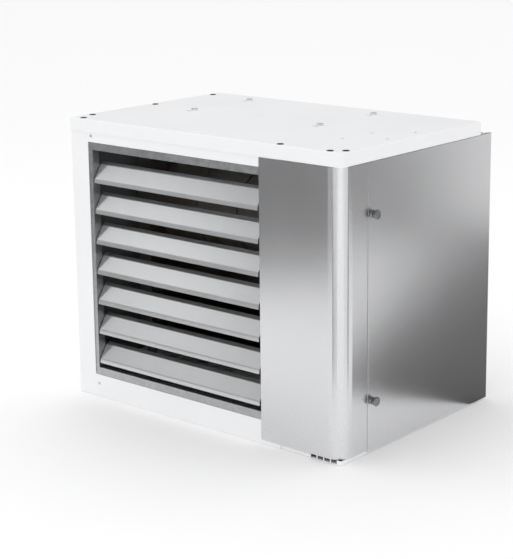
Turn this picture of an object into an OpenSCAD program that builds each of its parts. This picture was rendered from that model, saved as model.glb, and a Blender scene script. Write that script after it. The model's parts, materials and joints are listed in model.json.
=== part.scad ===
// Gas unit heater: a suspended sheet metal casing with a louvred warm air outlet,
// a tubular heat exchanger, a premix burner behind a hinged side door and an
// axial fan on the rear. Lengths are in millimetres.
// Origin: centre of the casing's underside. X runs to the right, Y to the rear, Z up.

/* [Casing] */
// Width of the lid over both sides
casing_w = 835; // [800:1:900]
// Depth of the lid from front to rear
casing_d = 540; // [520:1:620]
// Height from the underside to the top of the lid
casing_h = 700; // [680:1:800]
// Thickness of the casing sheet
sheet = 1.5; // [1:0.1:2]
// Gap left between sheets that lie on each other
skin_gap = 0.3; // [0.2:0.05:0.5]
// Height of the lid's skirt
lid_skirt_h = 32; // [26:1:40]
// Leg of the cut at the lid's front right corner
lid_corner_cut = 8; // [4:1:12]
// Height of the lip round the base tray
tray_lip_h = 10.5; // [8:0.5:12]
// Depth of the fold on the front frame's left edge
frame_fold = 20; // [12:1:30]

/* [Lid fittings] */
// Distance of the left bosses from the left side
hanger_left = 165; // [150:1:180]
// Distance of the right bosses from the right side
hanger_right = 270; // [250:1:300]
// Distance of the front bosses from the front
hanger_front = 268; // [240:1:290]
// Distance of the rear bosses from the rear
hanger_rear = 62; // [50:1:80]
// Radius of the threaded hole in a hanger boss
hanger_hole_r = 4; // [3:0.5:5]
// Radius of the collar that shows above the lid
hanger_collar_r = 8; // [7.5:0.5:11]
// Height of that collar
hanger_collar_h = 4.5; // [3:0.5:8]
// Radius of the dark blanking plugs
plug_r = 8; // [7:0.5:9]

/* [Corner cover] */
// Width of the cover on the front, from the right side
cover_w = 231; // [200:1:250]
// Distance from the front to the seam between cover and door
cover_side = 95; // [85:1:120]
// Outer radius of the cover's rounded corner
cover_r = 38; // [20:1:50]
// Thickness of the stainless sheet of the cover and the door
skin = 1.2; // [0.8:0.1:1.5]
// Depth of the folds along the seam
seam_fold = 14; // [10:1:16]
// Gap between cover and door at the seam
seam_gap = 1; // [0.6:0.1:2]

/* [Louvres] */
// Distance from the left side to the outlet opening
opening_left = 59; // [50:1:70]
// Distance that the outlet opening reaches behind the corner cover
cover_lap = 14; // [12:1:18]
// Distance from the underside to the outlet opening
opening_bottom = 57; // [50:1:60]
// Distance from the top of the lid down to the outlet opening
opening_down = 55; // [50:1:65]
// Width of the louvre frame's flange that shows at each side
flange_side = 12; // [8:1:16]
// Height of the flange that shows at top and bottom
flange_end = 19; // [14:1:22]
// Depth of the louvre frame behind its flange
louvre_depth = 22; // [18:1:26]
// Thickness of the blade sheet
blade_t = 1.2; // [0.8:0.1:1.6]
// Height of the upright lip at the front of a blade
blade_lip = 10; // [6:0.5:11]
// Rise of the sloping face of a blade
blade_rise = 34; // [28:1:38]
// Depth over which that face rises
blade_run = 22; // [18:1:26]
// Height of the narrow fold at the top of a blade
blade_fold = 10.5; // [6:0.5:12]
// Gap between the lowest blade and the frame's inner edge
blade_bottom_gap = 11.5; // [8:0.5:14]
// Gap between the highest blade and the frame's inner edge
blade_top_gap = 27; // [20:1:32]
// Gap between the blades and the frame at the left
blade_left_gap = 2; // [1.5:0.5:4]
// Gap between the blades and the frame at the right, filled by the friction sleeve
blade_right_gap = 11; // [8:1:13]
// Radius of the pivot pins of the blades
pivot_r = 4; // [3:0.5:5]
// Radial clearance of every pin that turns in a bore
fit = 0.05; // [0.02:0.01:0.09]

/* [Heat exchanger] */
// Outer radius of the combustion chamber
chamber_r = 105; // [90:1:110]
// Height of the chamber's axis, as a share of the casing's height
chamber_share = 0.67; // [0.665:0.005:0.68]
// Wall of the chamber and of the exchanger's boxes
hot_wall = 1.5; // [1.2:0.1:2.5]
// Number of tubes in a column
tube_rows = 6; // [4:1:6]
// Depth of a flat tube, along the air flow
tube_flat_w = 100; // [80:1:110]
// Thickness of a flat tube
tube_flat_h = 18; // [14:1:22]

/* [Fan] */
// Inner radius of the fan's inlet ring
fan_ring_r = 205; // [185:1:215]
// Gap between the blade tips and the ring
fan_tip_gap = 5; // [3:0.5:8]
// Number of fan blades
fan_blades = 5; // [3:1:7]
// Radius of the fan's hub
fan_hub_r = 58; // [48:1:66]
// Radius of the guard's wire
guard_wire_r = 2; // [1.5:0.25:2.5]
// Number of rings in the guard
guard_rings = 7; // [5:1:8]

/* [Connections] */
// Outer radius of the flue and air spigots
spigot_r = 40; // [35:0.5:42]
// Length of a spigot outside the rear panel
spigot_len = 50; // [40:1:55]
// Outer radius of the gas inlet nipple
gas_r = 13.2; // [10:0.1:15]

/* [Door] */
// Distance that the door reaches past the lid at the rear
door_overhang = 50; // [45:1:60]
// Height of the door's lower edge above the underside
door_bottom = 5; // [4:0.5:8]
// Radius of the hinge pins
hinge_r = 4; // [3:0.5:4.5]
// Radius of a door knob's head
knob_r = 11; // [9:0.5:13]
// Distance that a knob stands out of the door
knob_out = 15; // [12:0.5:20]

/* [Hidden] */
$fn = 64;
// Louvre blades, counted from the top; each has a node of its own
blade_count = 7;
LOUVRES = [for (i = [1 : blade_count]) i];
// Overrun of every cut past the face that it opens
cut = 1;
// Planes of the casing, counted from the lid's outer faces
panel_in = sheet + skin_gap;
panel_back = panel_in + sheet;
liner_in = panel_back + skin_gap;
lid_z = casing_h - lid_skirt_h;
roof_z = casing_h - sheet;
under_roof = roof_z - skin_gap;
floor_z = sheet + skin_gap;
rear_face = casing_d - panel_in;
rear_inner = casing_d - panel_back;
rear_step = 20;
rear_right = casing_w - rear_step;
rear_fold = 12;
// Hanger bosses, their rails and the slots ahead of them
rail_places = [hanger_left, casing_w - hanger_right];
boss_rows = [hanger_front, casing_d - hanger_rear];
boss_places = [for (x = rail_places, y = boss_rows) [x, y]];
boss_wall = 2.2;
boss_neck_r = hanger_hole_r + boss_wall;
boss_depth = 24;
boss_floor = 2;
boss_slot_ahead = 18;
boss_slot_w = 14;
boss_slot_d = 5;
rail_w = 40;
rail_h = 26;
rail_sheet = 2;
// Blanking plugs round the lid's edge
plug_edge = 12;
plug_side = 17;
plug_left = 36;
plug_mid = 178;
plug_end = 40;
plug_first = 60;
plug_corner_x = 13;
plug_corner_y = 32;
mid_share = 0.52;
plug_cap_h = 1.2;
plug_stem_h = 5;
plug_lap = 1;
plug_places = [
    [plug_left, plug_edge], [casing_w - plug_mid, plug_edge], [casing_w - plug_end, plug_edge],
    [plug_side, plug_first], [plug_side, mid_share * casing_d], [plug_side, casing_d - plug_end],
    [casing_w - plug_corner_x, plug_corner_y]
];
// Rivets in the lid above the burner compartment
rivet_r = 3;
rivet_h = 1.2;
rivet_shank_r = 1.9;
rivet_hole_r = 2;
rivet_len = 6;
rivet_shares = [[0.865, 0.276], [0.875, 0.459], [0.963, 0.381], [0.964, 0.58]];
rivet_places = [for (share = rivet_shares) [share.x * casing_w, share.y * casing_d]];
// Vent notches in the tray's front lip
vent_count = 4;
vent_w = 16;
vent_pitch = 19;
vent_deep = 4;
vent_right = 16;
// Outlet opening and louvre frame
opening_right = casing_w - cover_w + cover_lap;
opening_top = casing_h - opening_down;
flange_lap = 24;
flange_y = panel_back + skin_gap;
louvre_back = flange_y + louvre_depth;
inner_left = opening_left + flange_side;
inner_right = opening_right - flange_side;
inner_bottom = opening_bottom + flange_end;
inner_top = opening_top - flange_end;
blade_left = inner_left + blade_left_gap;
blade_right = inner_right - blade_right_gap;
blade_lean = 1;
fold_lean = 8;
blade_set_back = 1.4;
blade_front = flange_y + blade_set_back;
blade_h = blade_lip + blade_rise + blade_fold;
blade_pitch = (inner_top - inner_bottom - blade_bottom_gap - blade_top_gap - blade_h)
    / (blade_count - 1);
// Outline of a blade's outer surface, lip first, from the foot of its lip
blade_path = [
    [0, 0], [blade_lean, blade_lip], [blade_lean + blade_run, blade_lip + blade_rise],
    [blade_lean + blade_run + fold_lean, blade_h]
];
head_lap = 1;
pivot_head_r = pivot_r + head_lap;
pivot_behind = pivot_head_r + blade_t + skin_gap;
face_dir = unit(blade_path[2] - blade_path[1]);
face_back = [face_dir.y, -face_dir.x];
pivot_at = (blade_path[1] + blade_path[2]) / 2 + pivot_behind * face_back;
pivot_y = blade_front + pivot_at.x;
ear_lap = 6;
ear_r = pivot_r + ear_lap;
bush_wall = 2.4;
bush_r = pivot_r + bush_wall;
bush_slack = 0.1;
collar_lap = 4.5;
bush_collar_r = pivot_r + collar_lap;
bush_collar_h = 1.5;
tab_lap = 4;
tab_r = pivot_r + tab_lap;
pivot_head_h = 2;
sleeve_wall = 2;
sleeve_r = pivot_r + sleeve_wall;
pivot_end = 1;
screw_x = 70;
screw_low = 34;
screw_high = 40;
screw_head_r = 4;
screw_head_h = 1.4;
screw_r = 2;
screw_slack = 0.2;
screw_len = 8;
// Divider between the air duct and the burner compartment
divider_off = 22;
divider_x = opening_right + divider_off;
divider_right = divider_x + sheet;
frame_lap = 18;
frame_right = divider_right + frame_lap;
duct_mid = (liner_in + divider_x) / 2;
// Heat exchanger
exchanger_back = 10;
exchanger_y = casing_d / 2 + exchanger_back;
chamber_z = chamber_share * casing_h;
header_left = 75;
header_w = 40;
header_right = header_left + header_w;
header_d = 260;
header_foot = 92;
header_round = 20;
header_over = 12;
header_top = chamber_z + chamber_r + header_over;
chamber_flange_lap = 15;
chamber_flange_r = chamber_r + chamber_flange_lap;
chamber_flange_t = 3;
bead_w = 12;
bead_up = 3;
bead_shares = [0.25, 0.5, 0.75];
smoke_w = 70;
smoke_gap = 10;
smoke_right = divider_x - smoke_gap;
smoke_left = smoke_right - smoke_w;
smoke_under = 18;
smoke_top = chamber_z - chamber_r - bead_up - smoke_under;
tube_over_foot = 18;
tube_first = header_foot + tube_over_foot;
tube_under = 24;
tube_last = smoke_top - tube_under - tube_flat_h / 2;
tube_pitch = (tube_last - tube_first) / (tube_rows - 1);
tube_gap = 30;
tube_wall = 1;
tube_columns = [-1, 1];
stand_w = 30;
stand_t = 3;
// Burner and combustion blower
burner_port_r = 45;
burner_flange_r = 62;
burner_flange_t = 6;
burner_tube_r = 36;
burner_tube_len = 260;
burner_wall = 1.5;
blower_r = 70;
blower_t = 60;
blower_wall = 2.5;
blower_throat = 46;
blower_off = 98;
blower_x = divider_right + blower_off;
blower_grow = 8;
blower_z = chamber_z + blower_throat / 2 - blower_r - blower_grow;
blower_top = blower_z + blower_r + blower_grow;
blower_front = exchanger_y - blower_t / 2;
blower_back = exchanger_y + blower_t / 2;
blower_eye_r = 26;
wheel_r = 58;
wheel_hub_r = 12;
wheel_t = 34;
wheel_blades = 20;
wheel_blade_t = 1.5;
wheel_rim = 14;
wheel_plate = 2;
wheel_lap = 0.8;
wheel_gap = 8;
wheel_shaft_r = 4;
motor_r = 42;
motor_len = 55;
motor_bore = 30;
motor_fins = 8;
fin_t = 2;
fin_up = 3;
electrode_r = 5;
electrode_len = 34;
electrode_rod_r = 1.5;
electrode_in = 40;
electrode_side = 30;
electrode_up = 38;
electrode_places = [[-electrode_side, electrode_up], [electrode_side, electrode_up]];
// Gas train
mixer_r = 30;
mixer_len = 18;
valve_w = 70;
valve_d = 62;
valve_h = 84;
valve_y = blower_front - skin_gap - mixer_len - skin_gap - valve_d;
coil_r = 16;
coil_h = 34;
pipe_off = 78;
gas_x = divider_right + pipe_off;
gas_z = 60;
gas_pipe_r = 11;
gas_bend = 30;
gas_wall = 2;
gas_out = 36;
gas_nut_r = 22;
gas_nut_h = 10;
riser_y = valve_y + valve_d / 2;
riser_top = blower_z - valve_h / 2 - skin_gap;
// Flue and air
flue_x = divider_right + pipe_off;
flue_z = 170;
air_down = 140;
air_z = casing_h - air_down;
duct_wall = 1.2;
flue_bend = 60;
spigot_flange_lap = 10;
spigot_flange_r = spigot_r + spigot_flange_lap;
spigot_flange_t = 2;
spigot_in = 12;
// Control box, thermostat and cable glands
box_behind = 100;
box_rear_gap = 27;
box_y = exchanger_y + box_behind;
box_d = rear_inner - box_rear_gap - box_y;
box_z = 250;
box_h = 230;
box_w = 70;
box_lid = 2;
box_wall = 2;
stat_y = 150;
stat_z = air_z;
stat_r = 14;
stat_h = 12;
stat_plate = 2;
gland_r = 11;
gland_nut_h = 6;
gland_len = 22;
gland_hole_r = 8;
gland_off = 60;
gland_x = divider_right + gland_off;
gland_first = 310;
gland_pitch = 35;
gland_places = [gland_first, gland_first + gland_pitch];
// Fan
fan_z = casing_h / 2;
ring_wall = 1.5;
ring_flange = 38;
ring_depth = 52;
ring_round = 16;
ring_face = rear_face + skin_gap;
fan_tip_r = fan_ring_r - fan_tip_gap;
hub_len = 54;
hub_wall = 2.5;
hub_in = 14;
hub_back = rear_face - hub_in;
hub_front = hub_back - hub_len;
stator_in = 10;
stator_r = fan_hub_r - stator_in;
stator_gap = 3;
stator_front = hub_front + hub_wall + stator_gap;
fan_shaft_r = 7;
fan_shaft_len = 26;
blade_root_chord = 92;
blade_tip_chord = 118;
root_angle = 34;
tip_angle = 20;
sweep_angle = 22;
blade_camber = 9;
fan_blade_t = 3.2;
blade_sink = 4;
blade_steps = 6;
chord_steps = 6;
guard_in = 14;
guard_in_r = fan_hub_r + guard_in;
guard_over = 26;
guard_out_r = fan_ring_r + guard_over;
guard_rise = 26;
guard_spokes = 8;
guard_plate_t = 3;
weld_gap = 0.05;
guard_low = ring_face + ring_wall + guard_wire_r + weld_gap;
guard_flat = guard_low + guard_rise;
spoke_in_r = guard_in_r - 2 * guard_wire_r + weld_gap;
spoke_out_r = guard_out_r + 2 * guard_wire_r;
guard_slope = atan2(guard_rise, spoke_out_r - spoke_in_r);
wire_step = 2 * guard_wire_r / cos(guard_slope) + weld_gap;
// Door, hinges and knobs
door_front = cover_side + seam_gap;
door_back = casing_d + door_overhang;
door_top = lid_z - seam_gap;
door_round = 6;
door_fold = 12;
door_stop = casing_w - seam_fold - skin_gap;
hinge_in = 9;
hinge_behind = 13;
hinge_x = casing_w - hinge_in;
hinge_y = casing_d + hinge_behind;
tongue_gap = 0.6;
tongue_r = hinge_in - skin - tongue_gap;
lug_t = 3;
lug_wall = 4.5;
lug_r = hinge_r + lug_wall;
lug_low_z = 40;
bracket_t = 3;
bracket_h = 34;
bracket_w = 32;
pin_head_lap = 2;
pin_head_r = hinge_r + pin_head_lap;
pin_head_h = 4;
knob_behind = 16;
knob_y = door_front + knob_behind;
knob_low_z = 124;
knob_down = 117;
knob_high_z = lid_z - knob_down;
knob_stem_r = 5;
knob_base_r = 9;
knob_base_h = 3;
knob_head_h = 5;
knob_grips = 12;
knob_bush_r = 9;
knob_bush_h = 3;
cam_t = 3;
cam_w = 12;
cam_reach = 24;
cam_bore_r = 3;
cam_x = door_stop - 2 * (sheet + skin_gap);
striker_gap = 3;
striker_back = knob_y - knob_stem_r - striker_gap;
striker_lap = 12;
striker_h = 44;
post_lap = 24;
post_back = knob_y - cam_reach - cam_w / 2;
post_web = 34;

function unit(v) = v / norm(v);
function side_of(v) = [v.y, -v.x];
// Points beside a bent line at distance t, with mitred corners
function beside(path, t) = [for (i = [0 : len(path) - 1]) let (
    last = len(path) - 1,
    a = side_of(unit(path[max(i, 1)] - path[max(i, 1) - 1])),
    b = side_of(unit(path[min(i, last - 1) + 1] - path[min(i, last - 1)])))
    path[i] + t * (a + b) / (1 + a * b)];
function reversed(list) = [for (i = [len(list) - 1 : -1 : 0]) list[i]];
function pivot_z(i) = inner_top - blade_top_gap - blade_h + pivot_at.y - (i - 1) * blade_pitch;

// Everything is drawn from the casing's front left foot and then centred
module in_casing() {
    translate([-casing_w / 2, -casing_d / 2, 0]) children();
}

// Box between two corners
module block(low, high) {
    translate(low) cube(high - low);
}

// Round bars along the three axes
module bar_x(r, from, to, y, z) {
    translate([from, y, z]) rotate([0, 90, 0]) cylinder(r = r, h = to - from);
}

module bar_y(r, from, to, x, z) {
    translate([x, to, z]) rotate([90, 0, 0]) cylinder(r = r, h = to - from);
}

module bar_z(r, from, to, x, y) {
    translate([x, y, from]) cylinder(r = r, h = to - from);
}

// Outline in the Y Z plane drawn out along X
module along_x(from, to) {
    translate([from, 0, 0]) rotate([90, 0, 90]) linear_extrude(to - from) children();
}

// Outline in the X Z plane drawn out along Y
module along_y(from, to) {
    translate([0, to, 0]) rotate([90, 0, 0]) linear_extrude(to - from) children();
}

// Rectangle with rounded corners, from its low corner
module round_rect(size, r) {
    translate([r, 0]) square([size.x - 2 * r, size.y]);
    translate([0, r]) square([size.x, size.y - 2 * r]);
    for (x = [r, size.x - r], y = [r, size.y - r]) {
        translate([x, y]) circle(r);
    }
}

// Quarter of a ring round the origin, in the quadrant towards [sx, sy]
module quarter_ring(r, t, sx, sy) {
    intersection() {
        difference() {
            circle(r);
            circle(r - t);
        }
        quadrant(r, sx, sy);
    }
}

// Square on one side of both axes
module quadrant(r, sx, sy) {
    translate([sx < 0 ? -r : 0, sy < 0 ? -r : 0]) square(r);
}

// Lid with its skirt, plug holes, boss holes and the slots ahead of the bosses
module lid_outline(in) {
    polygon([
        [in, in], [casing_w - in - lid_corner_cut, in], [casing_w - in, in + lid_corner_cut],
        [casing_w - in, casing_d - in], [in, casing_d - in]
    ]);
}

module lid() {
    color("white") in_casing() difference() {
        translate([0, 0, lid_z]) linear_extrude(lid_skirt_h) lid_outline(0);
        translate([0, 0, lid_z - cut])
            linear_extrude(lid_skirt_h - sheet + cut) lid_outline(sheet);
        for (p = plug_places) {
            bar_z(plug_r - plug_lap, roof_z - cut, casing_h + cut, p.x, p.y);
        }
        for (p = boss_places) {
            bar_z(boss_neck_r + skin_gap, roof_z - cut, casing_h + cut, p.x, p.y);
            block([p.x - boss_slot_w / 2, p.y - boss_slot_ahead - boss_slot_d / 2, roof_z - cut],
                [p.x + boss_slot_w / 2, p.y - boss_slot_ahead + boss_slot_d / 2, casing_h + cut]);
        }
        for (p = rivet_places) {
            bar_z(rivet_hole_r, roof_z - cut, casing_h + cut, p.x, p.y);
        }
    }
}

// Two channels under the lid that carry the weight to the hanger bosses
module hanger_rails() {
    color("silver") in_casing() for (x = rail_places) {
        difference() {
            block([x - rail_w / 2, liner_in, under_roof - rail_h],
                [x + rail_w / 2, casing_d - liner_in, under_roof]);
            block([x - rail_w / 2 + rail_sheet, liner_in - cut, under_roof - rail_h - cut],
                [x + rail_w / 2 - rail_sheet, casing_d - liner_in + cut, under_roof - rail_sheet]);
            for (y = boss_rows) {
                bar_z(boss_neck_r + skin_gap, under_roof - rail_sheet - cut, under_roof + cut, x, y);
            }
        }
    }
}

// Threaded bosses for the hanging rods
module hanger_bosses() {
    color("gainsboro") in_casing() for (p = boss_places) {
        difference() {
            union() {
                bar_z(hanger_collar_r, casing_h, casing_h + hanger_collar_h, p.x, p.y);
                bar_z(boss_neck_r, casing_h - boss_depth, casing_h, p.x, p.y);
            }
            bar_z(hanger_hole_r, casing_h - boss_depth + boss_floor,
                casing_h + hanger_collar_h + cut, p.x, p.y);
        }
    }
}

// Blanking plugs pushed into the spare holes
module lid_plugs() {
    color("black") in_casing() for (p = plug_places) {
        bar_z(plug_r, casing_h, casing_h + plug_cap_h, p.x, p.y);
        bar_z(plug_r - plug_lap - skin_gap / 2, casing_h - plug_stem_h, casing_h, p.x, p.y);
    }
}

// Rivets with low heads
module lid_rivets() {
    color("gainsboro") in_casing() for (p = rivet_places) {
        bar_z(rivet_r, casing_h, casing_h + rivet_h, p.x, p.y);
        bar_z(rivet_shank_r, casing_h - rivet_len, casing_h, p.x, p.y);
    }
}

// Floor pan with vent notches under the corner cover
module base_tray() {
    color("white") in_casing() difference() {
        block([liner_in, liner_in, 0], [casing_w - liner_in, casing_d - liner_in, tray_lip_h]);
        block([liner_in + sheet, liner_in + sheet, sheet],
            [casing_w - liner_in - sheet, casing_d - liner_in - sheet, tray_lip_h + cut]);
        for (i = [0 : vent_count - 1]) {
            x = casing_w - vent_right - vent_w - i * vent_pitch;
            block([x, liner_in - cut, sheet], [x + vent_w, liner_in + vent_deep, tray_lip_h + cut]);
        }
    }
}

// Front panel round the outlet
module front_frame() {
    color("white") in_casing() difference() {
        union() {
            block([panel_in, panel_in, 0], [frame_right, panel_back, under_roof]);
            block([panel_in, panel_in, 0], [panel_back, panel_in + frame_fold, under_roof]);
        }
        block([opening_left, panel_in - cut, opening_bottom],
            [opening_right, panel_back + cut, opening_top]);
        for (z = [screw_low, casing_h - screw_high]) {
            bar_y(screw_r + screw_slack, panel_in - cut, panel_back + cut, screw_x, z);
        }
    }
}

// Screws that clamp the louvre frame to the front panel
module frame_screws() {
    color("gainsboro") in_casing() for (z = [screw_low, casing_h - screw_high]) {
        bar_y(screw_head_r, panel_in - screw_head_h, panel_in, screw_x, z);
        bar_y(screw_r, panel_in, panel_in + screw_len, screw_x, z);
    }
}

module left_panel() {
    color("white") in_casing()
        block([panel_in, panel_in + frame_fold + skin_gap, 0],
            [panel_back, rear_inner - skin_gap, under_roof]);
}

// Rear panel with the fan opening and the holes of the connections
module rear_panel() {
    color("white") in_casing() difference() {
        union() {
            block([panel_in, rear_inner, 0], [rear_right, rear_face, under_roof]);
            block([rear_right - sheet, rear_face - rear_fold, tray_lip_h + skin_gap],
                [rear_right, rear_face, under_roof]);
        }
        bar_y(fan_ring_r + ring_round + skin_gap, rear_inner - cut, rear_face + cut, duct_mid, fan_z);
        for (z = [flue_z, air_z]) {
            bar_y(spigot_r + skin_gap, rear_inner - cut, rear_face + cut, flue_x, z);
        }
        bar_y(gas_r + skin_gap, rear_inner - cut, rear_face + cut, gas_x, gas_z);
        for (z = gland_places) {
            bar_y(gland_hole_r + skin_gap, rear_inner - cut, rear_face + cut, gland_x, z);
        }
    }
}

// Wall between the air duct and the burner compartment
module divider_panel() {
    color("silver") in_casing() difference() {
        block([divider_x, flange_y + sheet + skin_gap, floor_z],
            [divider_right, casing_d - liner_in - sheet - skin_gap, under_roof]);
        bar_x(burner_port_r, divider_x - cut, divider_right + cut, exchanger_y, chamber_z);
        bar_x(spigot_r + skin_gap, divider_x - cut, divider_right + cut, exchanger_y, flue_z);
        for (p = electrode_places) {
            bar_x(electrode_rod_r + skin_gap, divider_x - cut, divider_right + cut,
                exchanger_y + p.x, chamber_z + p.y);
        }
    }
}

// Corner cover in brushed stainless sheet, bent round the front right corner
module cover_outline() {
    translate([casing_w - cover_w, 0]) square([cover_w - cover_r, skin]);
    translate([casing_w - cover_r, cover_r]) quarter_ring(cover_r, skin, 1, -1);
    translate([casing_w - skin, cover_r]) square([skin, cover_side - cover_r]);
    translate([casing_w - seam_fold, cover_side - skin]) square([seam_fold, skin]);
}

module corner_cover() {
    color("lightgray") in_casing() translate([0, 0, tray_lip_h + skin_gap])
        linear_extrude(lid_z - seam_gap - tray_lip_h - skin_gap) cover_outline();
}

// Folded post near the seam that carries the latch strikers
module latch_post() {
    color("silver") in_casing() {
        block([door_stop - sheet, post_back - post_lap, floor_z],
            [door_stop, post_back, under_roof - rail_h]);
        block([door_stop - post_web, post_back - post_lap, floor_z],
            [door_stop, post_back - post_lap + sheet, under_roof - rail_h]);
        block([door_stop - post_web, post_back - post_lap - seam_fold, floor_z],
            [door_stop - post_web + sheet, post_back - post_lap + sheet, under_roof]);
    }
}

// Flat plates on the post that the latch cams turn behind
module latch_strikers() {
    color("gainsboro") in_casing() for (z = [knob_low_z, knob_high_z]) {
        block([cam_x + skin_gap, post_back - striker_lap, z - striker_h / 2],
            [cam_x + skin_gap + sheet, striker_back, z + striker_h / 2]);
    }
}

// Frame of the outlet: flange, side walls and an ear at each pivot
module louvre_frame() {
    color("gainsboro") in_casing() difference() {
        union() {
            block([opening_left - flange_lap / 2, flange_y, opening_bottom - flange_lap - screw_head_r],
                [opening_right + flange_lap / 2, flange_y + sheet, opening_top + flange_lap]);
            block([inner_left - sheet, flange_y, inner_bottom - sheet],
                [inner_right + sheet, louvre_back, inner_top + sheet]);
            for (i = LOUVRES, x = [inner_left - sheet, inner_right]) {
                bar_x(ear_r, x, x + sheet, pivot_y, pivot_z(i));
            }
        }
        block([inner_left, flange_y - cut, inner_bottom],
            [inner_right, louvre_back + ear_r, inner_top]);
        for (i = LOUVRES) {
            bar_x(bush_r + bush_slack, inner_left - sheet - cut, inner_right + sheet + cut,
                pivot_y, pivot_z(i));
        }
        for (z = [screw_low, casing_h - screw_high]) {
            bar_y(screw_r + screw_slack, flange_y - cut, flange_y + sheet + cut, screw_x, z);
        }
    }
}

// Plastic bushes in the ears
module bush(x, outwards, z) {
    collar = [x, x + outwards * bush_collar_h];
    sleeve = [x, x - outwards * sheet];
    difference() {
        union() {
            bar_x(bush_collar_r, min(collar), max(collar), pivot_y, z);
            bar_x(bush_r, min(sleeve), max(sleeve), pivot_y, z);
        }
        bar_x(pivot_r + fit, x - bush_collar_h - sheet, x + bush_collar_h + sheet, pivot_y, z);
    }
}

module louvre_bushes() {
    color("black") in_casing() for (i = LOUVRES) {
        bush(inner_left - sheet, -1, pivot_z(i));
        bush(inner_right + sheet, 1, pivot_z(i));
    }
}

// One louvre blade: bent sheet with a tab at each end for its pivot
module blade_outline() {
    polygon(concat(blade_path, reversed(beside(blade_path, blade_t))));
}

module tab_outline() {
    intersection() {
        translate(pivot_at) circle(tab_r);
        polygon([
            blade_path[1], blade_path[2],
            blade_path[2] + 2 * tab_r * face_back, blade_path[1] + 2 * tab_r * face_back
        ]);
    }
}

module louvre_blade(i) {
    color("lightgray") in_casing() difference() {
        translate([0, blade_front, pivot_z(i) - pivot_at.y]) {
            along_x(blade_left, blade_right) blade_outline();
            along_x(blade_left, blade_left + blade_t) tab_outline();
            along_x(blade_right - blade_t, blade_right) tab_outline();
        }
        bar_x(pivot_r + fit, blade_left - cut, blade_left + blade_t + cut, pivot_y, pivot_z(i));
        bar_x(pivot_r + fit, blade_right - blade_t - cut, blade_right + cut, pivot_y, pivot_z(i));
    }
}

// The two pins of one blade, with heads inside the tabs and a sleeve at the right
module louvre_pivots(i) {
    color("dimgray") in_casing() {
        bar_x(pivot_r, inner_left - sheet - bush_collar_h - pivot_end,
            blade_left + blade_t + pivot_head_h, pivot_y, pivot_z(i));
        bar_x(pivot_head_r, blade_left + blade_t, blade_left + blade_t + pivot_head_h,
            pivot_y, pivot_z(i));
        bar_x(pivot_r, blade_right - blade_t - pivot_head_h,
            inner_right + sheet + bush_collar_h + pivot_end, pivot_y, pivot_z(i));
        bar_x(pivot_head_r, blade_right - blade_t - pivot_head_h, blade_right - blade_t,
            pivot_y, pivot_z(i));
        bar_x(sleeve_r, blade_right, inner_right - skin_gap, pivot_y, pivot_z(i));
    }
}

// Combustion chamber: a beaded drum from the divider to the return header
module combustion_chamber() {
    left = header_right + skin_gap;
    right = divider_x - skin_gap;
    color("lightsteelblue") in_casing() difference() {
        union() {
            bar_x(chamber_r, left, right, exchanger_y, chamber_z);
            bar_x(chamber_flange_r, right - chamber_flange_t, right, exchanger_y, chamber_z);
            for (share = bead_shares) {
                x = left + share * (right - left);
                bar_x(chamber_r + bead_up, x - bead_w / 2, x + bead_w / 2, exchanger_y, chamber_z);
            }
        }
        bar_x(chamber_r - hot_wall, left - cut, right - chamber_flange_t, exchanger_y, chamber_z);
        bar_x(burner_port_r, right - chamber_flange_t - cut, right + cut, exchanger_y, chamber_z);
        for (p = electrode_places) {
            bar_x(electrode_rod_r + skin_gap, right - chamber_flange_t - cut, right + cut,
                exchanger_y + p.x, chamber_z + p.y);
        }
    }
}

// Outline of one flat tube round the origin
module tube_outline(w, h) {
    square([w - h, h], center = true);
    for (s = [-1, 1]) {
        translate([s * (w - h) / 2, 0]) circle(h / 2);
    }
}

module tube_places() {
    for (side = tube_columns, row = [0 : tube_rows - 1]) {
        translate([exchanger_y + side * (tube_flat_w + tube_gap) / 2, tube_first + row * tube_pitch])
            children();
    }
}

// Box that turns the hot gas from the chamber into the tubes
module return_header() {
    color("lightsteelblue") in_casing() difference() {
        along_x(header_left, header_right) translate([exchanger_y - header_d / 2, header_foot])
            round_rect([header_d, header_top - header_foot], header_round);
        along_x(header_left + hot_wall, header_right - hot_wall)
            translate([exchanger_y - header_d / 2 + hot_wall, header_foot + hot_wall])
            round_rect([header_d - 2 * hot_wall, header_top - header_foot - 2 * hot_wall],
                header_round - hot_wall);
        bar_x(chamber_r - hot_wall, header_right - hot_wall - cut, header_right + cut,
            exchanger_y, chamber_z);
        along_x(header_right - hot_wall - cut, header_right + cut)
            tube_places() tube_outline(tube_flat_w - 2 * tube_wall, tube_flat_h - 2 * tube_wall);
    }
}

module exchanger_tubes() {
    color("lightsteelblue") in_casing()
        along_x(header_right + skin_gap, smoke_left - skin_gap) tube_places() difference() {
            tube_outline(tube_flat_w, tube_flat_h);
            tube_outline(tube_flat_w - 2 * tube_wall, tube_flat_h - 2 * tube_wall);
        }
}

// Box that gathers the cooled gas from the tubes and feeds the flue
module smoke_box() {
    color("lightsteelblue") in_casing() difference() {
        along_x(smoke_left, smoke_right) translate([exchanger_y - header_d / 2, header_foot])
            round_rect([header_d, smoke_top - header_foot], header_round);
        along_x(smoke_left + hot_wall, smoke_right - hot_wall)
            translate([exchanger_y - header_d / 2 + hot_wall, header_foot + hot_wall])
            round_rect([header_d - 2 * hot_wall, smoke_top - header_foot - 2 * hot_wall],
                header_round - hot_wall);
        along_x(smoke_left - cut, smoke_left + hot_wall + cut)
            tube_places() tube_outline(tube_flat_w - 2 * tube_wall, tube_flat_h - 2 * tube_wall);
        bar_x(spigot_r - duct_wall, smoke_right - hot_wall - cut, smoke_right + cut,
            exchanger_y, flue_z);
    }
}

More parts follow.
